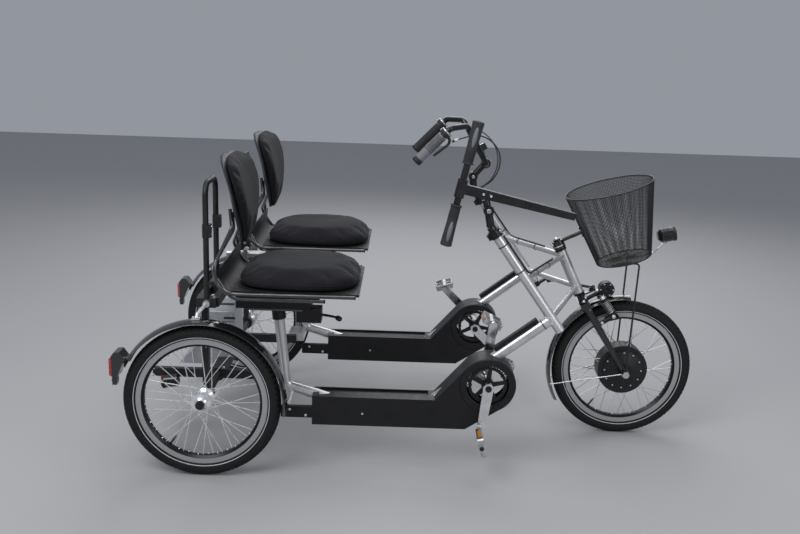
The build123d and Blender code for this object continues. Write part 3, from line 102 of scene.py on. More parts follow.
# Tyres: black rubber on a cloth carcass, moulded in one with a shallow road tread. A thin
# reflective line is moulded into each wall. They seat on the rims by their beads.
def node_in(owner, kind, settings=None, inputs=(), **named):
    """New node in a finish or tree: settings, then inputs by place and name, as values, sockets or nodes."""
    tree = getattr(owner, "node_tree", owner)
    fresh = tree.nodes.new(kind)
    for key, value in (settings or {}).items():
        setattr(fresh, key, value)
    given = dict(inputs if isinstance(inputs, dict) else enumerate(inputs))
    given.update((key.replace("_", " "), value) for key, value in named.items())
    for key, value in given.items():
        if isinstance(value, bpy.types.Node):
            value = value.outputs[0]
        if isinstance(value, bpy.types.NodeSocket):
            tree.links.new(value, fresh.inputs[key])
        else:
            fresh.inputs[key].default_value = value
    return fresh


def worked(owner, operation, *terms):
    """Result of one arithmetic step on values or sockets."""
    return node_in(owner, "ShaderNodeMath", {"operation": operation}, terms).outputs[0]


def vector_in(owner, **axes):
    """Vector from single values or sockets."""
    return node_in(owner, "ShaderNodeCombineXYZ", **axes).outputs[0]


def drive(made, label, source):
    """Let a node's first output drive a socket of a finish's shader."""
    made.node_tree.links.new(source.outputs[0], shader_of(made).inputs[label])


def place_in(made, offset=(0, 0, 0)):
    """Object coordinates, moved by an offset."""
    coords = node_in(made, "ShaderNodeTexCoord")
    return node_in(made, "ShaderNodeMapping", Vector=coords.outputs["Object"], Location=offset).outputs[0]


def bumped(made, strength, distance, height, **under):
    """Bump from a height."""
    return node_in(made, "ShaderNodeBump", Strength=strength, Distance=distance, Height=height, **under)


def weather(made, scale, low, high, spread=0.0, bump=0.0, fine=4.0):
    """Roughness between two values, a light spread of colour and a fine bump, all from noise."""
    where = place_in(made)
    cloud = node_in(made, "ShaderNodeTexNoise", Scale=scale, Detail=5, Vector=where)
    drive(made, "Roughness", node_in(made, "ShaderNodeMapRange", Value=cloud, From_Min=0.3, From_Max=0.7,
                                     To_Min=low, To_Max=high))
    if spread:
        base = shader_of(made).inputs["Base Color"].default_value[:3]
        ramp = node_in(made, "ShaderNodeValToRGB", Fac=cloud)
        for stop, position, share in zip(ramp.color_ramp.elements, (0.35, 0.7), (1 - spread, 1 + spread)):
            stop.position = position
            stop.color = (*[min(1, c * share) for c in base], 1)
        drive(made, "Base Color", ramp)
    if bump:
        grain = node_in(made, "ShaderNodeTexNoise", Scale=scale * fine, Detail=3, Vector=where)
        drive(made, "Normal", bumped(made, bump, 0.0006, grain))
    return made


def dress(made, *nodes):
    """Give a finish to pieces that come from the construction."""
    for name in nodes:
        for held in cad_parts[name].material_slots:
            held.material = made


def piece_of(name, mesh, body, made=None, smooth=True):
    """New piece from a mesh in the machine's frame, with its finish and the body that carries it."""
    piece = put(name, mesh)
    if made is not None:
        mesh.materials.clear()
        mesh.materials.append(made)
    for face in mesh.polygons:
        face.use_smooth = smooth
    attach(piece, body)
    return piece


def new_tree(name, sizes):
    """Geometry tree with named sizes; returns it and the sockets of its geometry and sizes."""
    tree = bpy.data.node_groups.new(name, "GeometryNodeTree")
    tree.interface.new_socket("Geometry", in_out="INPUT", socket_type="NodeSocketGeometry")
    for label, value in sizes.items():
        kind = "NodeSocketInt" if isinstance(value, int) else "NodeSocketFloat"
        tree.interface.new_socket(label, in_out="INPUT", socket_type=kind).default_value = value
    tree.interface.new_socket("Geometry", in_out="OUTPUT", socket_type="NodeSocketGeometry")
    return tree, tree.nodes.new("NodeGroupInput").outputs


def close_tree(tree, geometry, made):
    """End a geometry tree as real faces with one finish."""
    real = node_in(tree, "GeometryNodeRealizeInstances", Geometry=geometry)
    painted = node_in(tree, "GeometryNodeSetMaterial", Geometry=real, Material=made)
    node_in(tree, "NodeGroupOutput", Geometry=painted)


def plain_copy(piece):
    """Mesh of an object with its modifiers worked in."""
    graph = bpy.context.evaluated_depsgraph_get()
    return bpy.data.meshes.new_from_object(piece.evaluated_get(graph), depsgraph=graph)


def grown(tree, sizes, start=None):
    """Plain mesh that a geometry tree makes from given sizes and a starting mesh."""
    holder = put("holder", start or bpy.data.meshes.new("empty"))
    modifier = holder.modifiers.new("tree", "NODES")
    modifier.node_group = tree
    for item in tree.interface.items_tree:
        if item.in_out == "INPUT" and item.name in sizes:
            modifier[item.identifier] = sizes[item.name]
    mesh = plain_copy(holder)
    bpy.data.objects.remove(holder)
    return mesh


def circle(count):
    """Cosine and sine of directions spread evenly round a circle."""
    return [(cos(2 * pi * i / count), sin(2 * pi * i / count)) for i in range(count)]


def plain_mesh(shape, made=None):
    """Mesh of a worked shape, its faces turned outwards, in one finish."""
    bmesh.ops.recalc_face_normals(shape, faces=shape.faces)
    mesh = bpy.data.meshes.new("shape")
    shape.to_mesh(mesh)
    shape.free()
    if made:
        mesh.materials.append(made)
    return mesh


def skin(rows, made=None, loop=False, ends=False):
    """Mesh over rings of points: loop joins the last to the first, ends closes both with a face."""
    shape = bmesh.new()
    rows = [[shape.verts.new(point) for point in row] for row in rows]
    for now, after in zip(rows, rows[1:] + (rows[:1] if loop else [])):
        count = max(len(now), len(after))
        for i in range(count):
            k = (i + 1) % count
            corners = (now[i % len(now)], now[k % len(now)], after[k % len(after)], after[i % len(after)])
            corners = list(dict.fromkeys(corners))
            if len(corners) > 2:
                shape.faces.new(corners)
    if ends:
        shape.faces.new(rows[0][::-1])
        shape.faces.new(rows[-1])
    return plain_mesh(shape, made)


def merged(name, meshes, move=None):
    """One mesh from several, their finishes kept, moved by a matrix if given."""
    result = bmesh.new()
    finishes = []
    for mesh in meshes:
        part = mesh.copy()
        slots = []
        for made in part.materials:
            if made not in finishes:
                finishes.append(made)
            slots.append(finishes.index(made))
        for face in part.polygons:
            face.material_index = slots[face.material_index] if slots else 0
        result.from_mesh(part)
        bpy.data.meshes.remove(part)
    whole = bpy.data.meshes.new(name)
    result.to_mesh(whole)
    result.free()
    for made in finishes:
        whole.materials.append(made)
    if move:
        whole.transform(move)
    return whole


def moved(mesh, x, y, z):
    """Copy of a mesh in another place."""
    copy = mesh.copy()
    copy.transform(Matrix.Translation((x, y, z)))
    return copy


AXLE_X, FORK_X, TRACK_Y, WHEEL_R = -0.695, 0.73, 0.457, 0.25
WHEELS = (("rear_wheel_right", "right", AXLE_X, -TRACK_Y), ("rear_wheel_left", "left", AXLE_X, TRACK_Y),
          ("front_wheel", "front", FORK_X, 0.0))
TYRE_R = 0.0235
CARCASS = TYRE_R - 0.0013
rubber = finish_of("tyre_rubber", (0.011, 0.011, 0.012), 0.75, Specular_IOR_Level=0.3)
weather(rubber, 60, 0.62, 0.85, 0.25, 0.5)
reflex = weather(finish_of("tyre_line", (0.62, 0.63, 0.64), 0.4), 80, 0.3, 0.5, 0.1)


def ring_of(tree, size, shape):
    """Repeat a shape round the wheel: its Z points out, its Y along the rim, and Tilt leans it sideways."""
    leant = node_in(tree, "GeometryNodeTransform", Geometry=shape, Rotation=vector_in(tree, Y=size["Tilt"]))
    ring = node_in(tree, "GeometryNodeMeshCircle", {"fill_type": "NONE"}, Vertices=size["Count"],
                   Radius=size["Radius"])
    parts = node_in(tree, "ShaderNodeSeparateXYZ", Vector=node_in(tree, "GeometryNodeInputPosition"))
    angle = worked(tree, "ARCTAN2", parts.outputs["Y"], parts.outputs["X"])
    turn = node_in(tree, "FunctionNodeEulerToRotation", Euler=vector_in(tree, Y=pi / 2, Z=angle))
    copies = node_in(tree, "GeometryNodeInstanceOnPoints", Points=ring, Instance=leant, Rotation=turn)
    return node_in(tree, "GeometryNodeTransform", Geometry=copies, Translation=vector_in(tree, Y=size["Side"]),
                   Rotation=vector_in(tree, X=pi / 2, Y=size["Turn"]))


# A ring of blocks: each row has its own radius, side offset, turn and block size.
tyre_tree, size = new_tree("tyre_tread", {
    "Count": 84, "Radius": 0.249, "Side": 0.0, "Turn": 0.0, "Skew": 0.35, "Block L": 0.014, "Block W": 0.005,
    "Block H": 0.0016, "Tilt": 0.0})
block = node_in(tyre_tree, "GeometryNodeMeshCube",
                Size=vector_in(tyre_tree, X=size["Block W"], Y=size["Block L"], Z=size["Block H"]))
skewed_block = node_in(tyre_tree, "GeometryNodeTransform", Geometry=block,
                       Rotation=vector_in(tyre_tree, Z=size["Skew"]))
close_tree(tyre_tree, ring_of(tyre_tree, size, skewed_block), rubber)


def on_tyre(lean, height=0.0):
    """Radius and side of a point at a lean from the tread's middle and a height over the carcass."""
    return WHEEL_R - TYRE_R + (CARCASS + height) * cos(lean), (CARCASS + height) * sin(lean)


def wheel_ring(profile, made):
    """Ring about the wheel's axle, from a profile of (radius, side) points."""
    return skin([[(r * s, side, r * c) for r, side in profile] for c, s in circle(128)], made, loop=True)


wall_line = [on_tyre(radians(lean), height)
             for lean, height in ((118, 5e-4), (124, 5e-4), (124, -6e-4), (118, -6e-4))]
tyre_parts = [wheel_ring([on_tyre(radians(-138 + 276 * i / 24)) for i in range(25)], rubber),
              wheel_ring(wall_line, reflex), wheel_ring([(r, -side) for r, side in wall_line], reflex)]
for side in (-1, 1):
    for lean, count, tall, wide, skew in ((8, 96, 0.0145, 0.0042, 0.5), (24, 96, 0.0125, 0.0052, 0.25),
                                          (41, 80, 0.0105, 0.0062, -0.2), (57, 80, 0.0085, 0.0036, 0)):
        angle = radians(lean) * side
        radius, sideways = on_tyre(angle, -0.0001)
        tyre_parts.append(grown(tyre_tree, {
            "Count": count, "Radius": radius, "Side": sideways, "Turn": side * pi / count / 2, "Skew": side * skew,
            "Block L": tall, "Block W": wide, "Block H": 0.0026, "Tilt": angle}))
tyre_mesh = merged("tyre", tyre_parts)
for body, side_name, x, y in WHEELS:
    tyre = piece_of("tyre_" + side_name, moved(tyre_mesh, x, y, WHEEL_R), body)
    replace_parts(tyre, "rear_tyre_" + side_name if y else "front_tyre")

# Rims: extruded double-wall alloy, rolled and joined, black with machined braking bands, and
# drilled for brass nipples. A black valve stands in each between two spokes.
RIM_BAND = (0.1925, 0.2095)


def out_from_axle(made, x, y):
    """Distance from a wheel's axle, and the side offset from the wheel's own middle."""
    parts = node_in(made, "ShaderNodeSeparateXYZ", Vector=place_in(made, (-x, -y, -WHEEL_R)))
    flat = vector_in(made, X=parts.outputs["X"], Z=parts.outputs["Z"])
    reach = node_in(made, "ShaderNodeVectorMath", {"operation": "LENGTH"}, (flat,))
    return reach.outputs["Value"], parts.outputs["Y"]


def rim_finish(name, x, y):
    """Black anodised rim whose side bands are bare, measured from the wheel's own middle."""
    made = finish_of(name, (0.012, 0.012, 0.013), 0.35, 0.6)
    reach, sideways = out_from_axle(made, x, y)
    band = worked(made, "COMPARE", reach, sum(RIM_BAND) / 2, (RIM_BAND[1] - RIM_BAND[0]) / 2)
    wall = worked(made, "GREATER_THAN", worked(made, "ABSOLUTE", sideways), 0.0128)
    rings = node_in(made, "ShaderNodeVectorMath", {"operation": "SCALE"}, (reach,), Scale=260)
    grooves = node_in(made, "ShaderNodeTexNoise", Scale=9, Vector=rings)
    metal = node_in(made, "ShaderNodeMix", {"data_type": "RGBA"},
                    {0: grooves, 6: (0.36, 0.365, 0.375, 1), 7: (0.5, 0.505, 0.515, 1)})
    paint = node_in(made, "ShaderNodeMix", {"data_type": "RGBA"},
                    {0: worked(made, "MULTIPLY", band, wall), 6: (0.014, 0.014, 0.016, 1), 7: metal.outputs[2]})
    made.node_tree.links.new(paint.outputs[2], shader_of(made).inputs["Base Color"])
    drive(made, "Roughness", node_in(made, "ShaderNodeMapRange", Value=grooves, To_Min=0.22, To_Max=0.4))
    return made


steel = weather(finish_of("bright_steel", (0.7, 0.7, 0.71), 0.25, 1.0), 90, 0.2, 0.38, 0.12)
brass = weather(finish_of("plated_brass", (0.72, 0.7, 0.66), 0.25, 1.0), 90, 0.2, 0.35, 0.1)
black_metal = weather(finish_of("black_metal", (0.014, 0.014, 0.016), 0.35, 0.3), 45, 0.28, 0.5, 0.3, 0.25)

# A ring of small round pieces that stand along the spokes, such as nipples or bolt heads.
ring_tree, size = new_tree("ring_of_studs", {
    "Count": 36, "Radius": 0.18, "Side": 0.0, "Turn": 0.0, "Stud R": 0.002, "Stud Top R": 0.002, "Stud L": 0.01,
    "Corners": 8, "Tilt": 0.0})
stud = node_in(ring_tree, "GeometryNodeMeshCone", Vertices=size["Corners"], Radius_Top=size["Stud Top R"],
               Radius_Bottom=size["Stud R"], Depth=size["Stud L"])
close_tree(ring_tree, ring_of(ring_tree, size, stud), brass)


def studs(count, radius, side, foot_r, top_r, tall, **sizes):
    """Ring of studs about a wheel's or a crank's middle."""
    return grown(ring_tree, {"Count": count, "Radius": radius, "Side": side, "Stud R": foot_r, "Stud Top R": top_r,
                             "Stud L": tall, **sizes})


def laid(mesh, start, direction):
    """Move a mesh that is built along Z from the origin to a start and a direction."""
    turn = Vector(direction).normalized().to_track_quat("Z", "Y").to_matrix().to_4x4()
    mesh.transform(Matrix.Translation(start) @ turn)
    return mesh


def sleeve(profile, start, direction, made, steps=32):
    """Mesh turned about a line from a profile of (distance along it, radius)."""
    rows = []
    for distance, radius in profile:
        ring = [(radius * c, radius * s, distance) for c, s in circle(steps)]
        rows.append(ring if radius else [(0, 0, distance)])
    return laid(skin(rows, made), start, direction)


def turned(profile, start, direction, made, steps=32):
    """Turned piece that is closed to its axis at both ends."""
    return sleeve(((profile[0][0], 0), *profile, (profile[-1][0], 0)), start, direction, made, steps)


def fitted(name, parts, body, smooth=False, move=None, made=None):
    """Small parts joined into one piece."""
    return piece_of(name, merged(name, parts, move), body, made, smooth)


for body, side_name, x, y in WHEELS:
    dress(rim_finish("rim_" + side_name, x, y), "rear_rim_" + side_name if y else "front_rim")
    nipples = [studs(18, 0.1795, side * 0.0036, 0.0017, 0.0022, 0.012, Turn=side * radians(5)) for side in (-1, 1)]
    valve = turned(((-0.035, 0.0022), (-0.027, 0.0022), (-0.0265, 0.003), (0.001, 0.003)),
                   (0, 0, 0), (0, 0, 1), black_metal, 12)
    valve.transform(Matrix.Rotation(radians(215), 4, "Y") @ Matrix.Translation((0, 0, 0.184)))
    fitted("rim_fittings_" + side_name, nipples + [valve], body, True,
           Matrix.Translation((x, y, WHEEL_R)))

# Rear hubs and axle: forged shells with laced stainless spokes, on a black axle tube. Spoke heads
# show round each flange, and a dark cap closes each end of the axle.
hub_alloy = weather(finish_of("hub_alloy", (0.86, 0.87, 0.88), 0.3, 0.75), 55, 0.22, 0.42, 0.12, 0.1)
axle_black = weather(finish_of("axle_black", (0.02, 0.02, 0.022), 0.4, 0.4), 30, 0.35, 0.6, 0.35, 0.3)
dress(hub_alloy, "rear_hub_right", "rear_hub_left")
dress(axle_black, "rear_axle")
for body, side_name, x, y in WHEELS[:2]:
    heads = []
    for flange in (0.022, -0.034) if y > 0 else (-0.022, 0.034):
        for at in (flange - 0.0022, flange + 0.0022):
            heads.append(studs(18, 0.027, at, 0.0021, 0.0014, 0.0016, Tilt=pi / 2 if at > 0 else -pi / 2))
    fitted("spoke_heads_" + side_name, heads, body, False, Matrix.Translation((x, y, WHEEL_R)), steel)


# Hub motor: a cast drum with turned side covers held by a ring of small screws, painted black.
# Its hexagon nuts clamp the fork ends.
def two_tone(made, mask, colour, roughness, metallic):
    """Second finish where a mask is 1."""
    for label, value in (("Base Color", (*colour, 1)), ("Roughness", roughness), ("Metallic", metallic)):
        socket = shader_of(made).inputs[label]
        kind, first, result = ("RGBA", 6, 2) if label == "Base Color" else ("FLOAT", 2, 0)
        plain = socket.links[0].from_socket if socket.is_linked else socket.default_value
        blend = node_in(made, "ShaderNodeMix", {"data_type": kind}, {0: mask, first: plain, first + 1: value})
        made.node_tree.links.new(blend.outputs[result], socket)
    return made


motor_black = weather(finish_of("motor_black", (0.012, 0.012, 0.013), 0.4, 0.2), 40, 0.32, 0.5, 0.3, 0.15)
spoke_mask = worked(motor_black, "GREATER_THAN", out_from_axle(motor_black, FORK_X, 0)[0], 0.0905)
dress(two_tone(motor_black, spoke_mask, (0.7, 0.7, 0.71), 0.28, 1.0), "front_hub_motor")
screws = []
for side in (-1, 1):
    screws.append(studs(12, 0.0655, side * 0.038, 0.0034, 0.003, 0.0022, Corners=10, Tilt=side * pi / 2))
    screws.append(studs(18, 0.086, side * 0.0295, 0.0021, 0.0014, 0.0016, Tilt=side * pi / 2))
fitted("motor_screws", screws, "front_wheel", False, Matrix.Translation((FORK_X, 0, WHEEL_R)), steel)


def bolt(at, direction, radius, height, corners=6):
    """Hexagon nut or bolt head with a chamfer and a washer under it."""
    return turned(((0, radius * 1.35), (height * 0.18, radius * 1.35), (height * 0.18, radius),
                   (height * 0.9, radius), (height, radius * 0.86)), at, direction, steel, corners)


nuts = [bolt((FORK_X, side * 0.0925, WHEEL_R), (0, -side, 0), 0.0095, 0.009) for side in (-1, 1)]
fitted("front_axle_nuts", nuts, "fork")

# Frame tubes: round steel tube, brazed and sprayed silver, with a bead round every joint. Clips
# and ties hold a black cable along the tubes to the head.
silver = weather(finish_of("silver_lacquer", (0.64, 0.645, 0.655), 0.32, 0.7, 0.5), 25, 0.26, 0.4, 0.08, 0.08, 30)
dress(silver, "columns", "main_tubes", "cross_tubes", "head_tube", "seat_posts", "fender_stays")


def along_line(tree, size, shape, **more):
    """Repeat a shape at even steps along the starting line."""
    line = node_in(tree, "GeometryNodeMeshToCurve", Mesh=size[0])
    spots = node_in(tree, "GeometryNodeCurveToPoints", {"mode": "LENGTH"}, Curve=line, Length=size["Step"])
    return node_in(tree, "GeometryNodeInstanceOnPoints", Points=spots, Instance=shape,
                   Rotation=spots.outputs["Rotation"], **more)


weld_tree, size = new_tree("weld_bead", {"Step": 0.0024, "Bead": 0.0026, "Squash": 0.6})
bead = node_in(weld_tree, "GeometryNodeMeshUVSphere", Segments=8, Rings=5, Radius=size["Bead"])
close_tree(weld_tree, along_line(weld_tree, size, bead, Scale=vector_in(weld_tree, X=1.0, Y=1.0, Z=size["Squash"])),
           silver)


def saddle(start, end, radius, big_from, big_to, big_radius, steps=40):
    """Closed line where a small tube meets the wall of a bigger one near the small one's start."""
    run = (Vector(end) - Vector(start)).normalized()
    big_run = (Vector(big_to) - Vector(big_from)).normalized()
    side = run.orthogonal().normalized()
    other = run.cross(side)
    loop = []
    for c, s in circle(steps):
        foot = Vector(start) + side * (radius * c) + other * (radius * s) - Vector(big_from)
        away = foot - big_run * foot.dot(big_run)
        pace = run - big_run * run.dot(big_run)
        square, twice, rest = pace.dot(pace), away.dot(pace), away.dot(away) - big_radius ** 2
        reach = (-twice + max(0.0, twice * twice - square * rest) ** 0.5) / square
        loop.append(Vector(big_from) + foot + run * reach)
    return closed_line(loop)


def closed_line(points):
    """Mesh of edges along a closed loop of points."""
    mesh = bpy.data.meshes.new("line")
    mesh.from_pydata([tuple(p) for p in points], [(i, (i + 1) % len(points)) for i in range(len(points))], [])
    return mesh


RIDER_Y = 0.32
RIDERS = (("right", -RIDER_Y), ("left", RIDER_Y))
COLUMN = ((0.224, 0.783), (0.445, 0.478))
HEAD = ((0.48291, 0.67690), (0.557, 0.525))
MAIN = ((0.408, 0.513), (0.013, 0.205))
CROSS_R, COLUMN_R, HEAD_R, MAIN_R = 0.0102, 0.016, 0.018, 0.0182


def between(pair, share, y=0.0):
    """Point at a share along a side-view line, at a side position y."""
    (x0, z0), (x1, z1) = pair
    return Vector((x0 + (x1 - x0) * share, y, z0 + (z1 - z0) * share))


welds = []
cross_ends = {}
for side_name, y in RIDERS:
    column = between(COLUMN, 0, y), between(COLUMN, 1, y)
    for column_z, head_share in ((0.522, 0.86), (0.648, 0.13)):
        low, high = between(COLUMN, (0.783 - column_z) / 0.305, y), between(HEAD, head_share)
        cross_ends[side_name] = low, high
        welds.append(grown(weld_tree, {}, saddle(low, high, CROSS_R, *column, COLUMN_R)))
        welds.append(grown(weld_tree, {}, saddle(high, low, CROSS_R, between(HEAD, 0), between(HEAD, 1), HEAD_R)))
    loop = saddle(between(MAIN, 0, y), between(MAIN, 1, y), MAIN_R, *column, COLUMN_R, 56)
    welds.append(grown(weld_tree, {"Bead": 0.003}, loop))
fitted("frame_welds", welds, "frame", True)

collar_black = weather(finish_of("collar_black", (0.016, 0.016, 0.018), 0.3, 0.5), 60, 0.22, 0.42, 0.3, 0.1)
dress(collar_black, "frame_collars")
column_run = (between(COLUMN, 1) - between(COLUMN, 0)).normalized()
column_out = Vector((column_run.z, 0, -column_run.x))
bolts = []
for side_name, y in RIDERS:
    at = between(COLUMN, 0, y) - column_run * 0.013 - column_out * 0.019
    for side in (-1, 1):
        bolts.append(bolt(at + Vector((0, side * 0.0088, 0)), (0, side, 0), 0.0045, 0.0045, 12))
fitted("collar_bolts", bolts, "frame")


def run_of(name, points, radius, made, rounds, smooth):
    """Round curve with closed ends on a smooth line through the given points."""
    curve = bpy.data.curves.new(name, "CURVE")
    curve.dimensions = "3D"
    curve.bevel_depth = radius
    curve.bevel_resolution = rounds
    curve.use_fill_caps = True
    spline = curve.splines.new("NURBS")
    spline.points.add(len(points) - 1)
    for point, place in zip(spline.points, points):
        point.co = (*place, 1)
    spline.order_u = 3
    spline.use_endpoint_u = True
    spline.resolution_u = curve.resolution_u = smooth
    curve.materials.append(made)
    return curve


def tube_mesh(points, radius, made, rounds=2, smooth=6):
    """Closed tube along a smooth line."""
    holder = put("run", run_of("run", points, radius, made, rounds, smooth))
    mesh = plain_copy(holder)
    bpy.data.objects.remove(holder)
    return mesh


cable_black = weather(finish_of("cable_black", (0.012, 0.012, 0.012), 0.45, 0.0, 0.1), 120, 0.38, 0.55, 0.2)
main_run = (between(MAIN, 0) - between(MAIN, 1)).normalized()
cables = []
ties = []
for side_name, y in RIDERS:
    low, high = cross_ends[side_name]
    cross_run = (high - low).normalized()
    lane = [between(COLUMN, share, y) - column_out * 0.0188 for share in (0.02, 0.16, 0.3, 0.42)]
    lane += [low + cross_run * reach + Vector((0, 0, 0.0132)) for reach in (0.045, 0.11, 0.18, 0.25)]
    cables.append(tube_mesh(lane, 0.0028, cable_black))
    for centre, run, radius in ((between(COLUMN, 0.09, y), column_run, 0.0162),
                                (between(COLUMN, 0.36, y), column_run, 0.0162),
                                (low + cross_run * 0.09, cross_run, CROSS_R),
                                (low + cross_run * 0.2, cross_run, CROSS_R),
                                (between(MAIN, 1, y) + main_run * 0.4765, main_run, MAIN_R)):
        ties.append(sleeve(((-0.0018, radius), (-0.0018, radius + 0.0009), (0.0018, radius + 0.0009),
                            (0.0018, radius)), centre, run, cable_black, 24))
fitted("frame_cables", cables, "frame", True)
fitted("cable_ties", ties, "frame")

# Rear frame: square black tube, welded into uprights and a ladder, with two beams and a thin tray.
# Plastic plugs close the open ends, and hexagon bolts clamp the uprights to the axle.
powder = weather(finish_of("black_powder_coat", (0.014, 0.014, 0.015), 0.5), 35, 0.42, 0.58, 0.35, 0.35, 12)
dress(powder, "rear_frame", "back_hoops", "basket_stays", "tie_rod")
plug_black = weather(finish_of("plug_black", (0.01, 0.01, 0.01), 0.6), 90, 0.5, 0.7, 0.2, 0.3)


def rounded_box(centre, size, made, bevel, turn=None):
    """Box with rounded edges."""
    shape = bmesh.new()
    bmesh.ops.create_cube(shape, size=1)
    bmesh.ops.scale(shape, vec=size, verts=shape.verts)
    bmesh.ops.bevel(shape, geom=shape.edges[:], offset=bevel, segments=2, profile=0.6, affect="EDGES")
    mesh = plain_mesh(shape, made)
    mesh.transform(Matrix.Translation(centre) @ (turn.to_4x4() if turn else Matrix.Identity(4)))
    return mesh


BEAM_Y = 0.2
trim = []
for side in (-1, 1):
    for x in (-0.9155, -0.4745):
        trim.append(rounded_box((x, side * BEAM_Y, WHEEL_R), (0.003, 0.021, 0.031), plug_black, 0.0012))
    for up in (-1, 1):
        trim.append(bolt((AXLE_X + 0.02, side * BEAM_Y, WHEEL_R + up * 0.0175), (0, 0, up), 0.0045, 0.006))
    trim.append(bolt((AXLE_X, side * 0.376, 0.2285), (0, 0, -1), 0.005, 0.005))
    for y in (0.24, 0.4):
        trim.append(bolt((-0.663, side * y, 0.5745), (0, 0, 1), 0.005, 0.005))
fitted("rear_frame_fittings", trim, "frame")

# Battery case: moulded silver-grey shell with a lid seam, a lock, a strip of lamps and a handle,
# screwed together at its sides.
shell_grey = weather(finish_of("shell_grey", (0.36, 0.38, 0.41), 0.38, 0.25, 0.2), 40, 0.32, 0.5, 0.12, 0.2, 14)
dress(shell_grey, "battery_case")
lid_seam = rounded_box((-0.707, 0, 0.3985), (0.0935, 0.1712, 0.0022), plug_black, 0.0008)
lock = turned(((-0.002, 0.009), (0.0018, 0.009), (0.0022, 0.007), (0.0022, 0.0024), (0.0008, 0.0024)),
              (-0.72, -0.085, 0.36), (0, -1, 0), steel, 20)
lamp_strip = rounded_box((-0.675, -0.0855, 0.412), (0.04, 0.002, 0.008), plug_black, 0.0009)
handle = rounded_box((-0.707, 0, 0.4375), (0.07, 0.02, 0.003), plug_black, 0.0014)
trim = [lid_seam, lock, lamp_strip, handle]
for x, z in ((-0.67, 0.42), (-0.745, 0.42), (-0.67, 0.29), (-0.76, 0.29)):
    for side in (-1, 1):
        trim.append(turned(((-0.001, 0.0034), (0.0006, 0.003), (0.0009, 0.0018), (0.0002, 0.0014)),
                           (x, side * 0.085, z), (0, side, 0), steel, 12))
fitted("battery_fittings", trim, "frame")

# Chaincases: a moulded black cover about each chain, with a glossy tray on top and a few screws.
# The chainrings are steel, with teeth, and bolted to their five-armed carriers.
case_black = finish_of("case_black", (0.008, 0.008, 0.009), 0.46, 0.0, 0.05, Specular_IOR_Level=0.32)
weather(case_black, 28, 0.38, 0.56, 0.25, 0.25, 22)
ring_black = weather(finish_of("ring_black", (0.016, 0.016, 0.018), 0.35, 0.4), 50, 0.28, 0.45, 0.3, 0.1)
dress(case_black, "chaincase_right", "chaincase_left", "cable_covers")
dress(ring_black, "chainring_right", "chainring_left")
CRANK_X, CRANK_Z = 0.215, 0.3
for side_name, y in RIDERS:
    near, far = y - 0.055, y + 0.035
    trim = []
    for face, out in ((near - 0.0004, -1), (far + 0.0004, 1)):
        for x, z in ((-0.19, 0.19), (0.17, 0.235)):
            trim.append(turned(((-0.0006, 0.0042), (0.001, 0.0038), (0.0013, 0.002), (0.0003, 0.0018)),
                               (x, face, z), (0, out, 0), steel, 14))
    trim.append(rounded_box((-0.404, near + 0.013, 0.187), (0.108, 0.022, 0.038), case_black, 0.004))
    for x, z in ((-0.428, 0.197), (-0.376, 0.178)):
        trim.append(turned(((-0.0006, 0.0046), (0.0022, 0.0044), (0.0028, 0.0034)),
                           (x, near + 0.002, z), (0, -1, 0), steel, 14))
    teeth = studs(40, 0.0637, 0.0, 0.0024, 0.0009, 0.0042, Corners=4)
    bolts = studs(5, 0.0545, 0.0, 0.0042, 0.0036, 0.003, Turn=radians(36), Corners=10, Tilt=-pi / 2)
    fitted("case_fittings_" + side_name, trim, "frame")
    ring_parts = [moved(teeth, CRANK_X, y - 0.045, CRANK_Z), moved(bolts, CRANK_X, y - 0.0482, CRANK_Z)]
    fitted("ring_teeth_" + side_name, ring_parts, "cranks_" + side_name, made=ring_black)

# Cranks and pedals: forged and polished alloy arms with dust caps; each pedal is a bright cage
# with a row of teeth and amber reflectors, on a black barrel.
polished = weather(finish_of("polished_alloy", (0.82, 0.83, 0.85), 0.2, 1.0), 35, 0.14, 0.34, 0.12, 0.08)
cage_alloy = weather(finish_of("cage_alloy", (0.6, 0.61, 0.62), 0.3, 1.0), 60, 0.24, 0.5, 0.2, 0.15)
amber = weather(finish_of("amber_reflector", (0.55, 0.2, 0.02), 0.2, 0.0, 0.6), 300, 0.15, 0.3, 0.3, 0.4)
dress(polished, "cranks_right", "cranks_left")
for side_name, y in RIDERS:
    caps = [turned(((-0.001, 0.0105), (0.0012, 0.0105), (0.002, 0.008), (0.002, 0.004), (0.0006, 0.0035)),
                   (CRANK_X, y + side * 0.086, CRANK_Z), (0, side, 0), collar_black, 24) for side in (-1, 1)]
    fitted("dust_caps_" + side_name, caps, "cranks_" + side_name, True)
CRANK_L = 0.165
PEDAL_OUT = 0.135
PEDALS = (("right_outer", -RIDER_Y, -1, 187, 78), ("right_inner", -RIDER_Y, 1, 187, 25),
          ("left_inner", RIDER_Y, -1, 135, 20), ("left_outer", RIDER_Y, 1, 135, -15))
for name, y, end, angle, tilt in PEDALS:
    dress(cage_alloy, "pedal_" + name)
    reach = -end * CRANK_L
    centre = Vector((CRANK_X + sin(radians(angle)) * reach, y + end * PEDAL_OUT,
                     CRANK_Z + cos(radians(angle)) * reach))
    parts = []
    for face in (-1, 1):
        parts.append(rounded_box((face * 0.0335, 0, 0), (0.003, 0.042, 0.012), amber, 0.001))
        for edge in (-1, 1):
            for i in range(9):
                parts.append(turned(((-0.001, 0.0016), (0.0018, 0.0007)),
                                    (face * 0.0312, -0.036 + 0.009 * i, edge * 0.01), (0, 0, edge), cage_alloy, 5))
    parts.append(turned(((0, 0.0075), (0.0012, 0.0075), (0.0018, 0.006)), (0, end * 0.0458, 0), (0, end, 0),
                        plug_black, 18))
    fitted("pedal_fittings_" + name, parts, "pedal_" + name,
           move=Matrix.Translation(centre) @ Matrix.Rotation(radians(tilt), 4, "Y"))

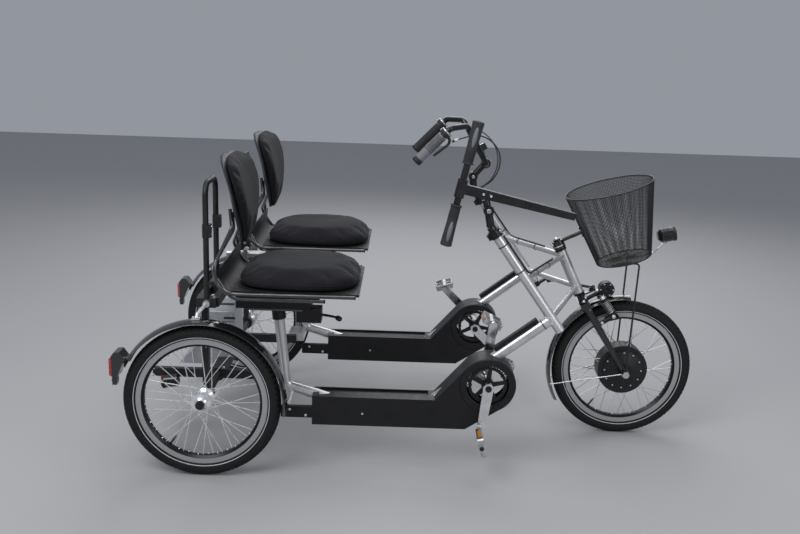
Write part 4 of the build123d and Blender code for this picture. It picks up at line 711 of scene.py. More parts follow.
# Seat frames: bent steel rails, moulded bases on slides and hoops behind, all finished in black.
# Caps close the rail ends and screws hold the slides; a clamp holds the short silver bar.
rail_black = finish_of("rail_black", (0.016, 0.016, 0.018), 0.22, 0.2, 0.9, Specular_IOR_Level=1.0)
weather(rail_black, 40, 0.17, 0.3, 0.3, 0.1)
base_black = finish_of("base_black", (0.012, 0.012, 0.014), 0.52, Specular_IOR_Level=0.35)
weather(base_black, 50, 0.45, 0.64, 0.3, 0.4, 8)
dress(rail_black, "seat_rails")
dress(base_black, "seat_bases")
RAIL_CAP = ((-0.001, 0.0062), (0.0022, 0.0062), (0.003, 0.005))
trim = []
for side_name, y in RIDERS:
    for end in (-1, 1):
        trim.append(turned(RAIL_CAP, (-0.2155, y + end * 0.1995, 0.6225), (1, 0, 0), plug_black, 16))
        trim.append(turned(RAIL_CAP, (-0.3085, y + end * 0.1882, 0.6045), (1, 0, 0), plug_black, 16))
        for x in (-0.507, -0.337):
            trim.append(bolt((x, y + end * 0.176, 0.6075), (0, 0, -1), 0.0045, 0.0045))
        trim.append(rounded_box((-0.485, y + end * 0.0285, 0.5275), (0.19, 0.011, 0.007), rail_black, 0.0012))
        for z in (0.778, 0.802):
            trim.append(bolt((-0.671, y + end * 0.08, z), (1, 0, 0), 0.004, 0.0035))
    lever = ((-0.37, y, 0.512), (-0.325, y, 0.506), (-0.295, y - 0.02, 0.508), (-0.272, y - 0.06, 0.515))
    trim.append(tube_mesh(lever, 0.0045, rail_black))
    trim.append(turned(((0, 0.005), (0.004, 0.0085), (0.022, 0.0085), (0.026, 0.005)), (-0.277, y - 0.052, 0.5135),
                       (0.4, -0.9, 0.12), plug_black, 16))
trim.append(bolt((-0.611, -0.106, 0.669), (0, 0, 1), 0.0055, 0.006))
trim.append(turned(((-0.001, 0.0104), (0.001, 0.0112), (0.003, 0.0095)), (-0.545, -0.1, 0.65), (1, 0, 0),
                   plug_black, 24))
fitted("seat_fittings", trim, "frame")

# Cushions and backrest pads: foam in a black woven cover, boxed with a sewn seam and gathered
# under the edge. Each pad is blown up as cloth over its own base before it is sewn.
cover = finish_of("cushion_cover", (0.011, 0.011, 0.0145), 0.85, Sheen_Weight=0.06, Specular_IOR_Level=0.22,
                  Sheen_Roughness=0.45)
weather(cover, 14, 0.78, 0.95, 0.3)
where = place_in(cover)
weave = node_in(cover, "ShaderNodeTexVoronoi", Scale=620, Vector=where)
creases = node_in(cover, "ShaderNodeTexNoise", Scale=26, Detail=6, Distortion=0.8, Vector=where)
soft = bumped(cover, 0.35, 0.002, creases)
drive(cover, "Normal", bumped(cover, 0.35, 0.0004, weave, Normal=soft))
thread = weather(finish_of("cover_thread", (0.03, 0.03, 0.034), 0.7), 200, 0.6, 0.8, 0.2)


def smoothed(piece, rounds):
    """Smoothing step that is worked in with the next copy."""
    step = piece.modifiers.new("even", "SMOOTH")
    step.iterations = rounds
    step.factor = 0.5


def stuffed(mesh, is_held, pressure, cap, grid):
    """Blow a closed shape up as cloth, holding what it rests on, and keep each point within a cap."""
    piece = put("pad", mesh)
    remesh = piece.modifiers.new("grid", "REMESH")
    remesh.mode = "VOXEL"
    remesh.voxel_size = grid
    smoothed(piece, 9)
    even = plain_copy(piece)
    piece.modifiers.clear()
    piece.data = even
    start = [v.co.copy() for v in even.vertices]
    held = piece.vertex_groups.new(name="held")
    held.add([v.index for v in even.vertices if is_held(v.co)], 1.0, "REPLACE")
    cloth = piece.modifiers.new("cloth", "CLOTH")
    for key, value in (("quality", 5), ("mass", 0.3), ("tension_stiffness", 12), ("compression_stiffness", 12),
                       ("bending_stiffness", 1.5), ("use_pressure", True), ("uniform_pressure_force", pressure),
                       ("vertex_group_mass", "held")):
        setattr(cloth.settings, key, value)
    cloth.settings.effector_weights.gravity = 0
    cloth.collision_settings.use_self_collision = False
    cloth.collision_settings.use_collision = False
    for tick in range(1, 21):
        scene.frame_set(tick)
    blown = plain_copy(piece)
    for vertex, was, now in zip(even.vertices, start, blown.vertices):
        move = now.co - was
        vertex.co = was + move * min(1.0, cap / max(move.length, 1e-9))
    piece.modifiers.remove(cloth)
    bpy.data.meshes.remove(blown)
    scene.frame_set(1)
    smoothed(piece, 8)
    finer = piece.modifiers.new("finer", "SUBSURF")
    finer.levels = 1
    finer.render_levels = 1
    made = plain_copy(piece)
    bpy.data.objects.remove(piece)
    return made


def super_round(a, b, power, steps=96):
    """Points round a plan between an ellipse and a rectangle, half a long and half b wide."""
    points = []
    for c, s in circle(steps):
        reach = (abs(c / a) ** power + abs(s / b) ** power) ** (-1 / power)
        points.append((c * reach, s * reach))
    return points


SEAT_X = -0.397
CUSHION_TOP = 0.686
CUSHION_CROWN = 0.0152
plan = super_round(0.1905, 0.184, 3.1)
rings = []
for z, share in ((0.6305, 0.955), (0.634, 0.98), (0.641, 1.0), (0.651, 1.005), (0.66, 0.995), (0.6675, 0.97),
                 (0.6735, 0.93), (0.6785, 0.87), (0.683, 0.785), (0.6865, 0.68), (0.689, 0.55), (0.691, 0.36),
                 (0.692, 0.16)):
    rings.append([(SEAT_X + x * share, y * share, z) for x, y in plan])
cushion = stuffed(skin(rings, ends=True), lambda p: p.z < 0.636, 3.2, 0.009, 0.006)
for vertex in cushion.vertices:
    p = vertex.co
    dx, dy = p.x - SEAT_X, p.y
    reach = hypot(dx / 0.19, dy / 0.184)
    if p.z > 0.655:
        dip = max(0.0, 1 - reach) ** 0.8
        p.z -= 0.003 * dip * (1 - dx / 0.2)
        p.z += 0.0012 * noise.noise(p * 22) * min(1, dip * 3)
    elif p.z > 0.634:
        turn = atan2(dy, dx)
        fold = noise.noise(Vector((turn * 9, p.z * 16, 3))) + 0.6 * noise.noise(Vector((turn * 25, p.z * 24, 9)))
        corner = abs(sin(2 * turn)) ** 3
        depth = (0.0014 + 0.0022 * corner) * fold * min(1, (0.667 - p.z) / 0.02)
        p.x += depth * cos(turn)
        p.y += depth * sin(turn)
    p.z = max(p.z, 0.6288)
    if p.z > CUSHION_TOP:
        p.z = CUSHION_TOP + CUSHION_CROWN * (1 - exp((CUSHION_TOP - p.z) / CUSHION_CROWN))

seam_tree, size = new_tree("stitches", {"Step": 0.0055, "Stitch L": 0.0032, "Stitch R": 0.00045})
stitch = node_in(seam_tree, "GeometryNodeMeshCylinder", Vertices=5, Radius=size["Stitch R"], Depth=size["Stitch L"])
close_tree(seam_tree, along_line(seam_tree, size, stitch), thread)


def seam_loop(mesh, level, x):
    """Loop of points just off a pad's wall at one level, round a middle at x."""
    holder = put("pad", mesh)
    bpy.context.view_layer.update()
    loop = []
    for c, s in circle(120):
        out = Vector((c, s, 0))
        found, spot_at, normal, _ = holder.ray_cast(Vector((x, 0, level)) + out * 0.4, -out)
        if found:
            loop.append(spot_at + normal * 0.0006)
    bpy.data.objects.remove(holder)
    return loop


def swept_ring(points, radius, made, steps=6):
    """Closed round bead along a loop of points."""
    rows = []
    for i, point in enumerate(points):
        run = (points[(i + 1) % len(points)] - points[i - 1]).normalized()
        side = run.cross(Vector((0, 0, 1))).normalized()
        top = side.cross(run)
        rows.append([point + side * (radius * c) + top * (radius * s) for c, s in circle(steps)])
    return skin(rows, made, loop=True)


top_seam = seam_loop(cushion, 0.6475, SEAT_X)
welt = swept_ring(top_seam, 0.0011, cover)
sewing = grown(seam_tree, {}, closed_line([p + Vector((0, 0, -0.0042)) for p in top_seam]))
for side_name, y in RIDERS:
    pad = piece_of("seat_cushion_cover_" + side_name, moved(cushion, 0, y, 0), "frame", cover)
    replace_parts(pad, "seat_cushion_" + side_name)
    fitted("cushion_seam_" + side_name, [welt, sewing], "frame", True,
           Matrix.Translation((0, y, 0)))

# Backrests: a moulded shell with a shaped pad in a black cover, narrow at the foot and wide at
# shoulder height, bolted to the rails behind it.
BACK_WIDTH = ((0.742, 0.046), (0.775, 0.07), (0.82, 0.104), (0.868, 0.146), (0.91, 0.172), (0.95, 0.186),
              (0.985, 0.181), (1.012, 0.158), (1.028, 0.118), (1.0355, 0.07))
BACK_FRONT = ((0.742, -0.568), (0.775, -0.556), (0.8, -0.549), (0.868, -0.557), (0.93, -0.567), (1.0, -0.579),
              (1.036, -0.586))
BACK_REAR = ((0.742, -0.589), (0.748, -0.588), (0.92, -0.61), (1.036, -0.63))
BACK_FOOT = 0.745


def read_off(table, z):
    """Value at a height from a table of (height, value)."""
    for (z0, v0), (z1, v1) in zip(table, table[1:]):
        if z <= z1:
            return v0 + (v1 - v0) * max(0.0, (z - z0) / (z1 - z0))
    return table[-1][1]


def back_ring(z, front_share, rear_share, narrow, power=2.3):
    """Ring of a backrest at a height, between two shares of its thickness."""
    front, rear = read_off(BACK_FRONT, z), read_off(BACK_REAR, z)
    low = rear + (front - rear) * rear_share
    high = rear + (front - rear) * front_share
    mid = (low + high) / 2
    plan = super_round((high - low) / 2, read_off(BACK_WIDTH, z) - narrow, power, 72)
    return [(mid + px, py, z) for px, py in plan]


def curl(y, z):
    """How far a backrest bends forward at its sides and back at its top."""
    lean = min(1.0, max(0.0, (z - 0.9) / 0.14))
    return 0.015 * (y / 0.186) ** 2 - 0.017 * lean * lean


heights = [0.744, 0.747, 0.752, 0.76, 0.775, 0.795, 0.82, 0.845, 0.87, 0.895, 0.92, 0.945, 0.965, 0.985, 1.002,
           1.015, 1.024, 1.03, 1.0335]
pad_rings = []
for z in heights:
    tip = min(1.0, ((z - 0.74) / 0.02) ** 0.5, ((1.0365 - z) / 0.022) ** 0.5)
    ring = back_ring(z, 1.0, 0.34, 0.003, 3.4)
    centre = sum((Vector(p) for p in ring), Vector()) / len(ring)
    pad_rings.append([centre + Vector(((p[0] - centre.x) * tip, (p[1] - centre.y) * (0.6 + 0.4 * tip), 0))
                      for p in ring])
back_pad = stuffed(skin(pad_rings, ends=True), lambda p: p.x < read_off(BACK_REAR, p.z) + 0.021, 3.0, 0.006, 0.005)
for vertex in back_pad.vertices:
    p = vertex.co
    side_limit = read_off(BACK_WIDTH, p.z) + 0.001
    p.y = min(max(p.y, -side_limit), side_limit)
    p.x += curl(p.y, p.z) + 0.0008 * noise.noise(p * 18)
    p.z = BACK_FOOT + 0.985 * (p.z - BACK_FOOT)
shell_rings = []
for z in [BACK_FOOT] + heights[3:-2] + [1.0345]:
    ring = back_ring(z, 0.5, -0.06, 0.004)
    shell_rings.append([(x + curl(y, z), y, BACK_FOOT + 0.955 * (z - BACK_FOOT)) for x, y, z in ring])
back_shell = skin(shell_rings, ends=True)
shell_black = weather(finish_of("back_shell", (0.03, 0.032, 0.039), 0.55), 60, 0.46, 0.64, 0.25, 0.35, 10)
for side_name, y in RIDERS:
    pad = piece_of("backrest_pad_" + side_name, moved(back_pad, 0, y, 0), "frame", cover)
    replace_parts(pad, "backrest_" + side_name)
    shell = piece_of("backrest_shell_" + side_name, moved(back_shell, 0, y, 0), "frame", shell_black)
    edge = shell.modifiers.new("edge", "BEVEL")
    edge.width = 0.003
    edge.segments = 2
    edge.limit_method = "ANGLE"
    bolts = [bolt((read_off(BACK_REAR, z) + 0.001, y + end * 0.04, z), (-1, 0, -0.13), 0.0045, 0.004)
             for end in (-1, 1) for z in (0.82, 0.856)]
    fitted("backrest_bolts_" + side_name, bolts, "frame")

# Fenders: pressed sheet in gloss black enamel with rolled edges, held by painted stays. The front
# one also hangs from two bright wire stays.
GLOSS = {"Specular_IOR_Level": 1.0, "Coat_IOR": 1.8}
fender_gloss = finish_of("fender_gloss", (0.02, 0.021, 0.024), 0.1, 0.45, 1.0, **GLOSS)
weather(fender_gloss, 18, 0.06, 0.16, 0.3, 0.04, 30)
fork_gloss = finish_of("front_fender_gloss", (0.01, 0.0105, 0.012), 0.12, 0.15, 0.8, **GLOSS)
weather(fork_gloss, 18, 0.08, 0.18, 0.3, 0.04, 30)


def beyond(made, axis, limit, absolute=False):
    """Mask that is 1 where an object coordinate, or its size, is over a limit."""
    reading = node_in(made, "ShaderNodeSeparateXYZ", Vector=place_in(made)).outputs[axis]
    return worked(made, "GREATER_THAN", worked(made, "ABSOLUTE", reading) if absolute else reading, limit)


def arc_bead(angle_from, angle_to, radius, side, thick, made):
    """Rolled edge along an arc round a wheel, from one angle from the top to another."""
    rows = []
    for i in range(65):
        angle = radians(angle_from + (angle_to - angle_from) * i / 64)
        rows.append([((radius + thick * c) * sin(angle), side + thick * s, (radius + thick * c) * cos(angle))
                     for c, s in circle(6)])
    return skin(rows, made, ends=True)


dress(fender_gloss, "rear_fender_right", "rear_fender_left")
dress(two_tone(fork_gloss, beyond(fork_gloss, "Y", 0.0315, True), (0.7, 0.7, 0.71), 0.25, 1.0), "front_fender")
for name, body, x, y, angle_from, angle_to in (("rear_fender_right", "frame", AXLE_X, -TRACK_Y, -64, 97),
                                               ("rear_fender_left", "frame", AXLE_X, TRACK_Y, -64, 97),
                                               ("front_fender", "fork", FORK_X, 0.0, -119, 2)):
    parts = [arc_bead(angle_from, angle_to, 0.2602, side * 0.0299, 0.0012, fender_gloss) for side in (-1, 1)]
    if body == "frame":
        parts += [bolt((shift - 0.014, 0, 0.2753), (0, 0, 1), 0.0034, 0.0034) for shift in (-0.0098, 0.0098)]
        parts.append(bolt((0.2655, 0.011 if y < 0 else -0.011, 0.292), (-1, 0, 0), 0.003, 0.003))
    else:
        clip = radians(-104)
        for side in (-1, 1):
            parts.append(turned(((-0.001, 0.0042), (0.001, 0.0042), (0.0022, 0.002)),
                                (sin(clip) * 0.262, side * 0.0336, cos(clip) * 0.262), (0, side, 0), steel, 14))
    fitted(name + "_trim", parts, body, True, Matrix.Translation((x, y, WHEEL_R)))

# Rear lamps: a ribbed red lens, clear-coated, on a black moulded back, screwed to each fender; a
# round one is clipped beside the rear frame's beam.
lamp_red = weather(finish_of("rear_lamp", (0.012, 0.012, 0.013), 0.3, 0.0, 0.7), 70, 0.2, 0.36, 0.2)
upper_lens = worked(lamp_red, "SUBTRACT", beyond(lamp_red, "Z", 0.326), beyond(lamp_red, "X", -0.9725))
round_lens = worked(lamp_red, "SUBTRACT", beyond(lamp_red, "X", -0.95), beyond(lamp_red, "X", -0.872))
round_lens = worked(lamp_red, "SUBTRACT", round_lens, beyond(lamp_red, "Y", 0.3, True))
lens_mask = worked(lamp_red, "MAXIMUM", upper_lens, round_lens)
two_tone(lamp_red, lens_mask, (0.42, 0.008, 0.008), 0.12, 0.0)
ridges = node_in(lamp_red, "ShaderNodeTexWave", {"wave_type": "BANDS", "bands_direction": "Z"}, Scale=75,
                 Vector=place_in(lamp_red))
drive(lamp_red, "Normal", bumped(lamp_red, lens_mask, 0.0008, ridges.outputs["Fac"]))
dress(lamp_red, "tail_lights")
trim = []
for side in (-1, 1):
    for shift in (-0.019, 0.019):
        trim.append(turned(((-0.0012, 0.0032), (0.0008, 0.0028), (0.0011, 0.0014), (0.0004, 0.0012)),
                           (-0.98, side * TRACK_Y + shift, 0.338), (-1, 0, 0), steel, 12))
    trim.append(turned(((-0.001, 0.0052), (0.002, 0.0052), (0.0024, 0.003)),
                       (-0.951, side * TRACK_Y + 0.026, 0.352), (0, 1, 0), plug_black, 14))
trim.append(sleeve(((-0.002, 0.0222), (-0.002, 0.0232), (0.004, 0.0232), (0.004, 0.0222)),
                   (-0.872, -0.2323, 0.2246), (-0.989, 0, -0.1465), plug_black))
fitted("lamp_trim", trim, "frame")

# Passenger's handle: a hinged black stem carries a flat-sided arm and an upright bar with two
# tapered rubber grips, each with a softer grey pad. It doesn't steer.
stem_black = weather(finish_of("stem_black", (0.013, 0.013, 0.014), 0.32, 0.3, 0.25), 55, 0.24, 0.42, 0.3, 0.15)
arm_black = weather(finish_of("arm_black", (0.016, 0.016, 0.018), 0.38, 0.3, 0.2), 30, 0.3, 0.48, 0.25, 0.12)
grip_rubber = weather(finish_of("grip_rubber", (0.034, 0.035, 0.039), 0.75), 120, 0.65, 0.85, 0.2, 0.4)
grip_grey = weather(finish_of("grip_pad", (0.2, 0.207, 0.222), 0.66), 160, 0.56, 0.76, 0.15, 0.4)
dress(stem_black, "passenger_stem", "steering_shaft", "driver_stem")
dress(arm_black, "passenger_handle")
dress(grip_rubber, "passenger_grips")
ribs_tree, size = new_tree("grip_ribs", {"Count": 14, "Length": 0.1, "Start R": 0.018, "End R": 0.0155,
                                         "Rib R": 0.0011})
last_rib = worked(ribs_tree, "SUBTRACT", size["Count"], 1)
pitch = worked(ribs_tree, "DIVIDE", size["Length"], last_rib)
spots = node_in(ribs_tree, "GeometryNodeMeshLine", Count=size["Count"], Offset=vector_in(ribs_tree, Z=pitch))
wide = node_in(ribs_tree, "ShaderNodeMapRange", Value=node_in(ribs_tree, "GeometryNodeInputIndex"),
               From_Max=last_rib, To_Min=size["Start R"], To_Max=size["End R"]).outputs[0]
hoop = node_in(ribs_tree, "GeometryNodeCurvePrimitiveCircle", Resolution=28, Radius=1.0)
hoops = node_in(ribs_tree, "GeometryNodeInstanceOnPoints", Points=spots, Instance=hoop,
                Scale=vector_in(ribs_tree, X=wide, Y=wide, Z=1.0))


def wired(tree, lines, corners, radius):
    """Wires along curves."""
    section = node_in(tree, "GeometryNodeCurvePrimitiveCircle", Resolution=corners, Radius=radius)
    return node_in(tree, "GeometryNodeCurveToMesh", Curve=lines, Profile_Curve=section)


real_hoops = node_in(ribs_tree, "GeometryNodeRealizeInstances", Geometry=hoops)
close_tree(ribs_tree, wired(ribs_tree, real_hoops, 6, size["Rib R"]), grip_rubber)


def ribs(count, long, first_r, last_r, rib_r, start, run):
    """Row of ribs round a grip."""
    sizes = {"Count": count, "Length": long, "Start R": first_r, "End R": last_r, "Rib R": rib_r}
    return laid(grown(ribs_tree, sizes), start, run)


ARM_DIR = Vector((0.9769, 0, -0.2137))
ARM_UP = Vector((0.2137, 0, 0.9769))
ARM_BACK = Vector((0.101, -RIDER_Y, 0.936))
trim = []
for end, inward in ((ARM_BACK + ARM_UP * 0.212, -1), (ARM_BACK - ARM_UP * 0.188, 1)):
    run = ARM_UP * inward
    trim.append(ribs(13, 0.038, 0.0166, 0.0156, 0.0009, end + run * 0.088, run))
    trim.append(sleeve(((0.001, 0.0112), (0.001, 0.0185), (-0.003, 0.0185), (-0.003, 0.0112)),
                       end + run * 0.13, -run, grip_rubber, 28))
    trim.append(turned(((-0.001, 0.0185), (0.0012, 0.0175), (0.0024, 0.014), (0.0026, 0.0)),
                       end, -run, grip_rubber, 28))
    for side in (-1, 1):
        shape = bmesh.new()
        bmesh.ops.create_uvsphere(shape, u_segments=24, v_segments=14, radius=1)
        pad = plain_mesh(shape, grip_grey)
        pad.transform(Matrix.Diagonal((0.0152, 0.0075, 0.037, 1)))
        trim.append(laid(pad, end + run * 0.046 + Vector((0, side * 0.0107, 0)), run))
screw = ((-0.001, 0.0042), (0.0022, 0.0042), (0.0028, 0.0036), (0.0028, 0.0022), (0.001, 0.002))
for side in (-1, 1):
    for shift in (-0.012, 0.012):
        trim.append(turned(screw, ARM_BACK + ARM_DIR * (0.085 + shift) + Vector((0, side * 0.013, 0)), (0, side, 0),
                           steel, 14))
trim.append(rounded_box(ARM_BACK + ARM_DIR * 0.3709, (0.0022, 0.0246, 0.0206), plug_black, 0.0009,
                        Matrix.Rotation(radians(12.3), 3, "Y")))
fitted("passenger_handle_trim", trim, "frame", True)
for name, body, x, y, z, out, profile in (
        ("passenger", "frame", 0.191, -RIDER_Y, 0.869, 0.022,
         ((-0.001, 0.0075), (0.003, 0.0075), (0.0042, 0.0062), (0.0042, 0.0036), (0.0016, 0.0034))),
        ("driver", "driver_steering", 0.183, RIDER_Y, 0.883, 0.023,
         ((-0.001, 0.0062), (0.0026, 0.0062), (0.0036, 0.005), (0.0036, 0.003), (0.0014, 0.0028)))):
    screws = [turned(profile, (x, y + side * out, z), (0, side, 0), steel, 20) for side in (-1, 1)]
    fitted(name + "_stem_screws", screws, body)

# Driver's bar: bent alloy tube in satin black, clamped in the stem by four bolts. Its rubber grips
# have a grey sleeve, black on the far side, and a black end; levers, twist shifters and a display sit inboard.
bar_black = weather(finish_of("bar_black", (0.014, 0.014, 0.015), 0.26, 0.4, 0.3), 45, 0.2, 0.36, 0.25, 0.08)
control_black = weather(finish_of("control_black", (0.018, 0.018, 0.02), 0.45, 0.0, 0.1), 70, 0.38, 0.58, 0.3, 0.3)
dress(bar_black, "driver_handlebar")
dress(control_black, "driver_controls")
dress(two_tone(grip_grey, beyond(grip_grey, "Y", RIDER_Y), (0.017, 0.017, 0.02), 0.7, 0.0), "driver_grips")
glass = weather(finish_of("display_glass", (0.01, 0.012, 0.016), 0.08, 0.0, 1.0), 30, 0.05, 0.14, 0.3)
GRIP_RUN = Vector((-0.6953, 0, -0.7187))
trim = []
for side in (-1, 1):
    start = Vector((0.0544, RIDER_Y + side * 0.188, 1.0495))
    trim.append(ribs(17, 0.058, 0.0172, 0.0172, 0.0008, start + GRIP_RUN * 0.006, GRIP_RUN))
    trim.append(sleeve(((-0.0006, 0.0112), (-0.0006, 0.0179), (0.0014, 0.0179), (0.0014, 0.0112)),
                       start + GRIP_RUN * 0.07, GRIP_RUN, plug_black))
    trim.append(sleeve(((-0.016, 0.0171), (-0.016, 0.018), (0.0, 0.0186), (0.0024, 0.017), (0.0036, 0.012),
                        (0.0036, 0)), start + GRIP_RUN * 0.1315, GRIP_RUN, plug_black))
    trim.append(sleeve(((-0.0028, 0.0205), (-0.0028, 0.0218), (0.003, 0.0218), (0.003, 0.0205)),
                       start - GRIP_RUN * 0.021, GRIP_RUN, steel))
    trim.append(turned(((0, 0.005), (0.002, 0.0048), (0.0028, 0.003)),
                       start - GRIP_RUN * 0.012 - Vector((0.0145, 0, -0.0140)), (-0.72, 0, 0.70), steel, 12))
    trim.append(bolt(start - GRIP_RUN * 0.014 + Vector((0.008, -side * 0.0035, -0.012)), (0, side, 0.1),
                     0.0034, 0.004))
    for up in (-1, 1):
        trim.append(bolt((0.244, RIDER_Y + side * 0.014, 0.934 + up * 0.009), (1, 0, up * 0.2), 0.0034, 0.004))
DISPLAY_AT = Vector((0.206, RIDER_Y, 0.992))
tilt = Matrix.Rotation(radians(-30), 3, "Y")
trim.append(rounded_box(DISPLAY_AT + tilt @ Vector((0, 0, 0.0118)), (0.036, 0.053, 0.0016), glass, 0.0006, tilt))
for shift in (-0.012, 0.0, 0.012):
    key = turned(((-0.001, 0.0032), (0.001, 0.0032), (0.0014, 0.0024)), (0, 0, 0), (0, 0, 1), plug_black, 12)
    key.transform(Matrix.Translation(DISPLAY_AT + tilt @ Vector((-0.0218, shift, 0))) @ tilt.to_4x4()
                  @ Matrix.Rotation(radians(-90), 4, "Y"))
    trim.append(key)
fitted("driver_bar_trim", trim, "driver_steering", True)

# Brake cables: steel cable in a black sleeve, one from each lever, looping forward and down into
# the stem. A plated adjuster guides each out of its lever, and a rubber boot takes it in below.
CABLE_ROUTE = ((0.1044, 0.1709, 1.0346), (0.1456, 0.1621, 1.0495), (0.2, 0.132, 1.052), (0.25, 0.098, 1.02),
               (0.277, 0.062, 0.975), (0.28, 0.034, 0.92), (0.257, 0.016, 0.87), (0.2311, 0.0065, 0.8499),
               (0.2135, 0.0065, 0.8372))
trim = []
for side_name, side in (("right", -1), ("left", 1)):
    route = [(x, RIDER_Y + side * y, z) for x, y, z in CABLE_ROUTE]
    cable = put("brake_cable_sleeve_" + side_name,
                run_of("brake_cable_" + side_name, route, 0.0025, cable_black, 3, 10))
    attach(cable, "driver_steering")
    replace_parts(cable, "brake_cable_" + side_name)
    trim.append(sleeve(((-0.009, 0.0046), (-0.009, 0.0056), (-0.002, 0.0056), (-0.001, 0.005), (0.008, 0.005),
                        (0.009, 0.0042), (0.0095, 0.0027)), route[0], Vector(route[1]) - Vector(route[0]),
                       steel, 16))
    trim.append(sleeve(((-0.007, 0.0046), (-0.007, 0.0054), (0.0, 0.0054), (0.006, 0.004), (0.011, 0.0028)),
                       route[-1], (0.8098, 0, 0.5868), plug_black, 16))
fitted("cable_ends", trim, "driver_steering", True)

# Fork: welded steel legs and crown in gloss black, with a lever for the tie rod, a clamped head
# nut and an arm to the basket. The brake's arms, pads and round housing are bolted to its front.
fork_black = weather(finish_of("fork_black", (0.01, 0.01, 0.011), 0.16, 0.15, 0.9), 24, 0.1, 0.24, 0.3, 0.05, 24)
dress(fork_black, "fork")
dress(black_metal, "front_brake")
HEAD_UP = Vector((-0.4384, 0, 0.8988))
HEAD_FWD = Vector((0.8988, 0, 0.4384))
HEAD_TOP = Vector((0.48291, 0, 0.6769))
CROWN = Vector((0.5728, 0, 0.4926))
FORK_END = Vector((FORK_X, 0, WHEEL_R))
leg_run = (FORK_END - CROWN).normalized()
leg_out = Vector((-leg_run.z, 0, leg_run.x))
boss = FORK_END - leg_run * 0.2035
arm_low = boss + leg_out * 0.066
trim = [bolt(HEAD_TOP + HEAD_UP * 0.0435, HEAD_UP, 0.0062, 0.0055),
        sleeve(((-0.0015, 0.0215), (-0.0015, 0.0232), (0.0015, 0.0232), (0.0015, 0.0215)),
               HEAD_TOP + HEAD_UP * 0.019, HEAD_UP, steel, 36)]
for side in (-1, 1):
    out = Vector((0, side, 0))
    trim.append(bolt(HEAD_TOP + HEAD_UP * 0.03 - HEAD_FWD * 0.0205 + out * 0.007, out, 0.0042, 0.005))
    trim.append(bolt(CROWN + out * 0.064 + HEAD_UP * 0.0165, HEAD_UP, 0.0062, 0.0055))
    face = Vector((0.6538, 0, 0.541)) + out * 0.017
    for c, s in circle(6):
        trim.append(turned(((-0.001, 0.003), (0.0012, 0.0027), (0.0015, 0.0015), (0.0004, 0.0012)),
                           face + Vector((0.022 * c, 0, 0.022 * s)), out, steel, 10))
    trim.append(turned(((-0.001, 0.0115), (0.0018, 0.0105), (0.0026, 0.0085), (0.0012, 0.0075)), face, out,
                       collar_black, 28))
    coil = []
    for i in range(81):
        turn = i * pi / 5
        centre = arm_low + out * 0.051 - leg_run * (0.014 + 0.0006 * i)
        coil.append(centre + leg_out * (0.0148 * cos(turn)) + Vector((0, 0.0148 * sin(turn), 0)))
    trim.append(tube_mesh(coil, 0.0012, steel, 1, 3))
    trim.append(bolt(arm_low + out * 0.066, out, 0.0062, 0.006))
    trim.append(bolt(boss + leg_out * 0.02 + out * 0.0665, out, 0.005, 0.005))
    trim.append(turned(((-0.001, 0.0132), (0.003, 0.0125), (0.006, 0.008)), arm_low - leg_run * 0.074 + out * 0.05,
                       -leg_run, steel, 24))
fitted("fork_fittings", trim, "fork", True)

# Basket: round wires woven and welded into a fine black mesh cup, on a thicker rim and foot wire,
# and coated. Its stays run down to the axle.
mesh_black = weather(finish_of("basket_wire", (0.009, 0.009, 0.01), 0.45, 0.0, 0.1), 90, 0.38, 0.55, 0.3, 0.2)
FOOT_R, CUP_H = 0.0965, 0.2605
cup_tree, size = new_tree("basket_mesh", {"Top R": 0.1535, "Low R": FOOT_R, "Height": 0.262, "Columns": 160,
                                          "Rows": 54, "Wire R": 0.00075})
net = node_in(cup_tree, "GeometryNodeMeshGrid", Size_X=2 * pi, Size_Y=1.0,
              Vertices_X=worked(cup_tree, "ADD", size["Columns"], 1), Vertices_Y=size["Rows"])
spot = node_in(cup_tree, "ShaderNodeSeparateXYZ", Vector=node_in(cup_tree, "GeometryNodeInputPosition")).outputs
wall_r = node_in(cup_tree, "ShaderNodeMapRange", Value=spot["Y"], From_Min=-0.5, From_Max=0.5, To_Min=size["Low R"],
                 To_Max=size["Top R"]).outputs[0]
place = vector_in(cup_tree, X=worked(cup_tree, "MULTIPLY", worked(cup_tree, "COSINE", spot["X"]), wall_r),
                  Y=worked(cup_tree, "MULTIPLY", worked(cup_tree, "SINE", spot["X"]), wall_r),
                  Z=worked(cup_tree, "MULTIPLY", worked(cup_tree, "SUBTRACT", spot["Y"], 0.5), size["Height"]))
wrapped = node_in(cup_tree, "GeometryNodeSetPosition", Geometry=net, Position=place)
sealed = node_in(cup_tree, "GeometryNodeMergeByDistance", Geometry=wrapped, Distance=0.0001)
lines = node_in(cup_tree, "GeometryNodeMeshToCurve", Mesh=sealed)
close_tree(cup_tree, wired(cup_tree, lines, 4, size["Wire R"]), mesh_black)
CUP = Matrix.Translation((0.6349, 0, 0.9049)) @ Matrix.Rotation(radians(-16), 4, "Y")
cup_floor = grown(cup_tree, {"Top R": FOOT_R, "Low R": 0.004, "Height": 0.0, "Columns": 48, "Rows": 13})
cup_parts = [grown(cup_tree, {}), moved(cup_floor, 0, 0, -CUP_H)]
for radius, level, thick in ((0.1525, 0.0, 0.0025), (FOOT_R, -CUP_H, 0.0018)):
    loop = [Vector((radius * c, radius * s, level)) for c, s in circle(96)]
    cup_parts.append(swept_ring(loop, thick, mesh_black, 8))
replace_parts(fitted("basket_mesh", cup_parts, "fork", True, CUP), "basket")
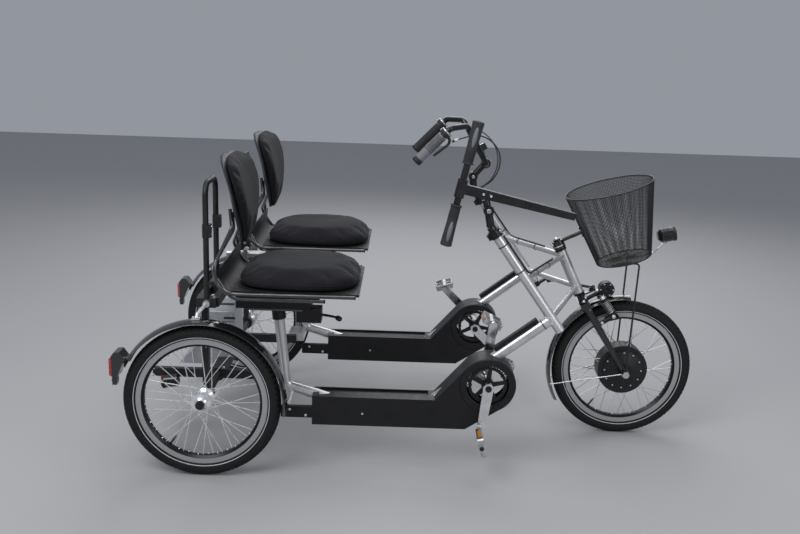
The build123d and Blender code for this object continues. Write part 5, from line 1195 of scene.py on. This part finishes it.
bolts = [bolt(CUP @ Vector((-0.126, side * 0.011, -0.13)), CUP.to_3x3() @ Vector((1, 0, 0)), 0.0042, 0.0035)
         for side in (-1, 1)]
fitted("basket_bolts", bolts, "fork")

# Headlight: a black turned barrel with cooling rings and a clear bulging lens over a bright
# reflector, on a plated steel bracket under the basket.
lamp_black = weather(finish_of("headlight_black", (0.012, 0.012, 0.013), 0.28, 0.3, 0.4), 60, 0.2, 0.38, 0.25, 0.1)
bracket_mask = worked(lamp_black, "SUBTRACT", beyond(lamp_black, "Z", -1.0), beyond(lamp_black, "Z", 0.7195))
dress(two_tone(lamp_black, bracket_mask, (0.72, 0.72, 0.73), 0.18, 1.0), "headlight")
reflector = weather(finish_of("lamp_reflector", (0.85, 0.86, 0.88), 0.12, 1.0), 200, 0.08, 0.18, 0.05)
lens = finish_of("headlight_lens", (0.78, 0.82, 0.88), 0.06, 0.0, 1.0, Transmission_Weight=0.55)
weather(lens, 90, 0.04, 0.12, 0.06)
facets = node_in(lens, "ShaderNodeTexVoronoi", Scale=190, Vector=place_in(lens))
drive(lens, "Normal", bumped(lens, 0.4, 0.0006, facets))
LAMP = (Vector((0.8492, 0, 0.7444)), Vector((0.9781, 0, 0.2079)))
trim = [turned(((0.0246, 0.0235), (0.0254, 0.0235)), *LAMP, reflector, 40),
        turned(((0.0255, 0.0225), (0.0275, 0.0225), (0.0292, 0.019), (0.0305, 0.0125), (0.031, 0.006), (0.0311, 0)),
               *LAMP, lens, 40),
        sleeve(((0.024, 0.0225), (0.024, 0.0272), (0.0268, 0.0272), (0.0278, 0.0255), (0.0278, 0.0225),
                (0.024, 0.0225)), *LAMP, lamp_black, 40)]
for back in (-0.012, -0.006, 0.0, 0.006):
    trim.append(sleeve(((back, 0.0248), (back, 0.0258), (back + 0.0022, 0.0258), (back + 0.0022, 0.0248)),
                       *LAMP, lamp_black, 40))
trim.append(bolt(LAMP[0] + Vector((-0.001, 0, -0.0275)), (0.2, 0, -1), 0.005, 0.004))
fitted("headlight_trim", trim, "fork", True)
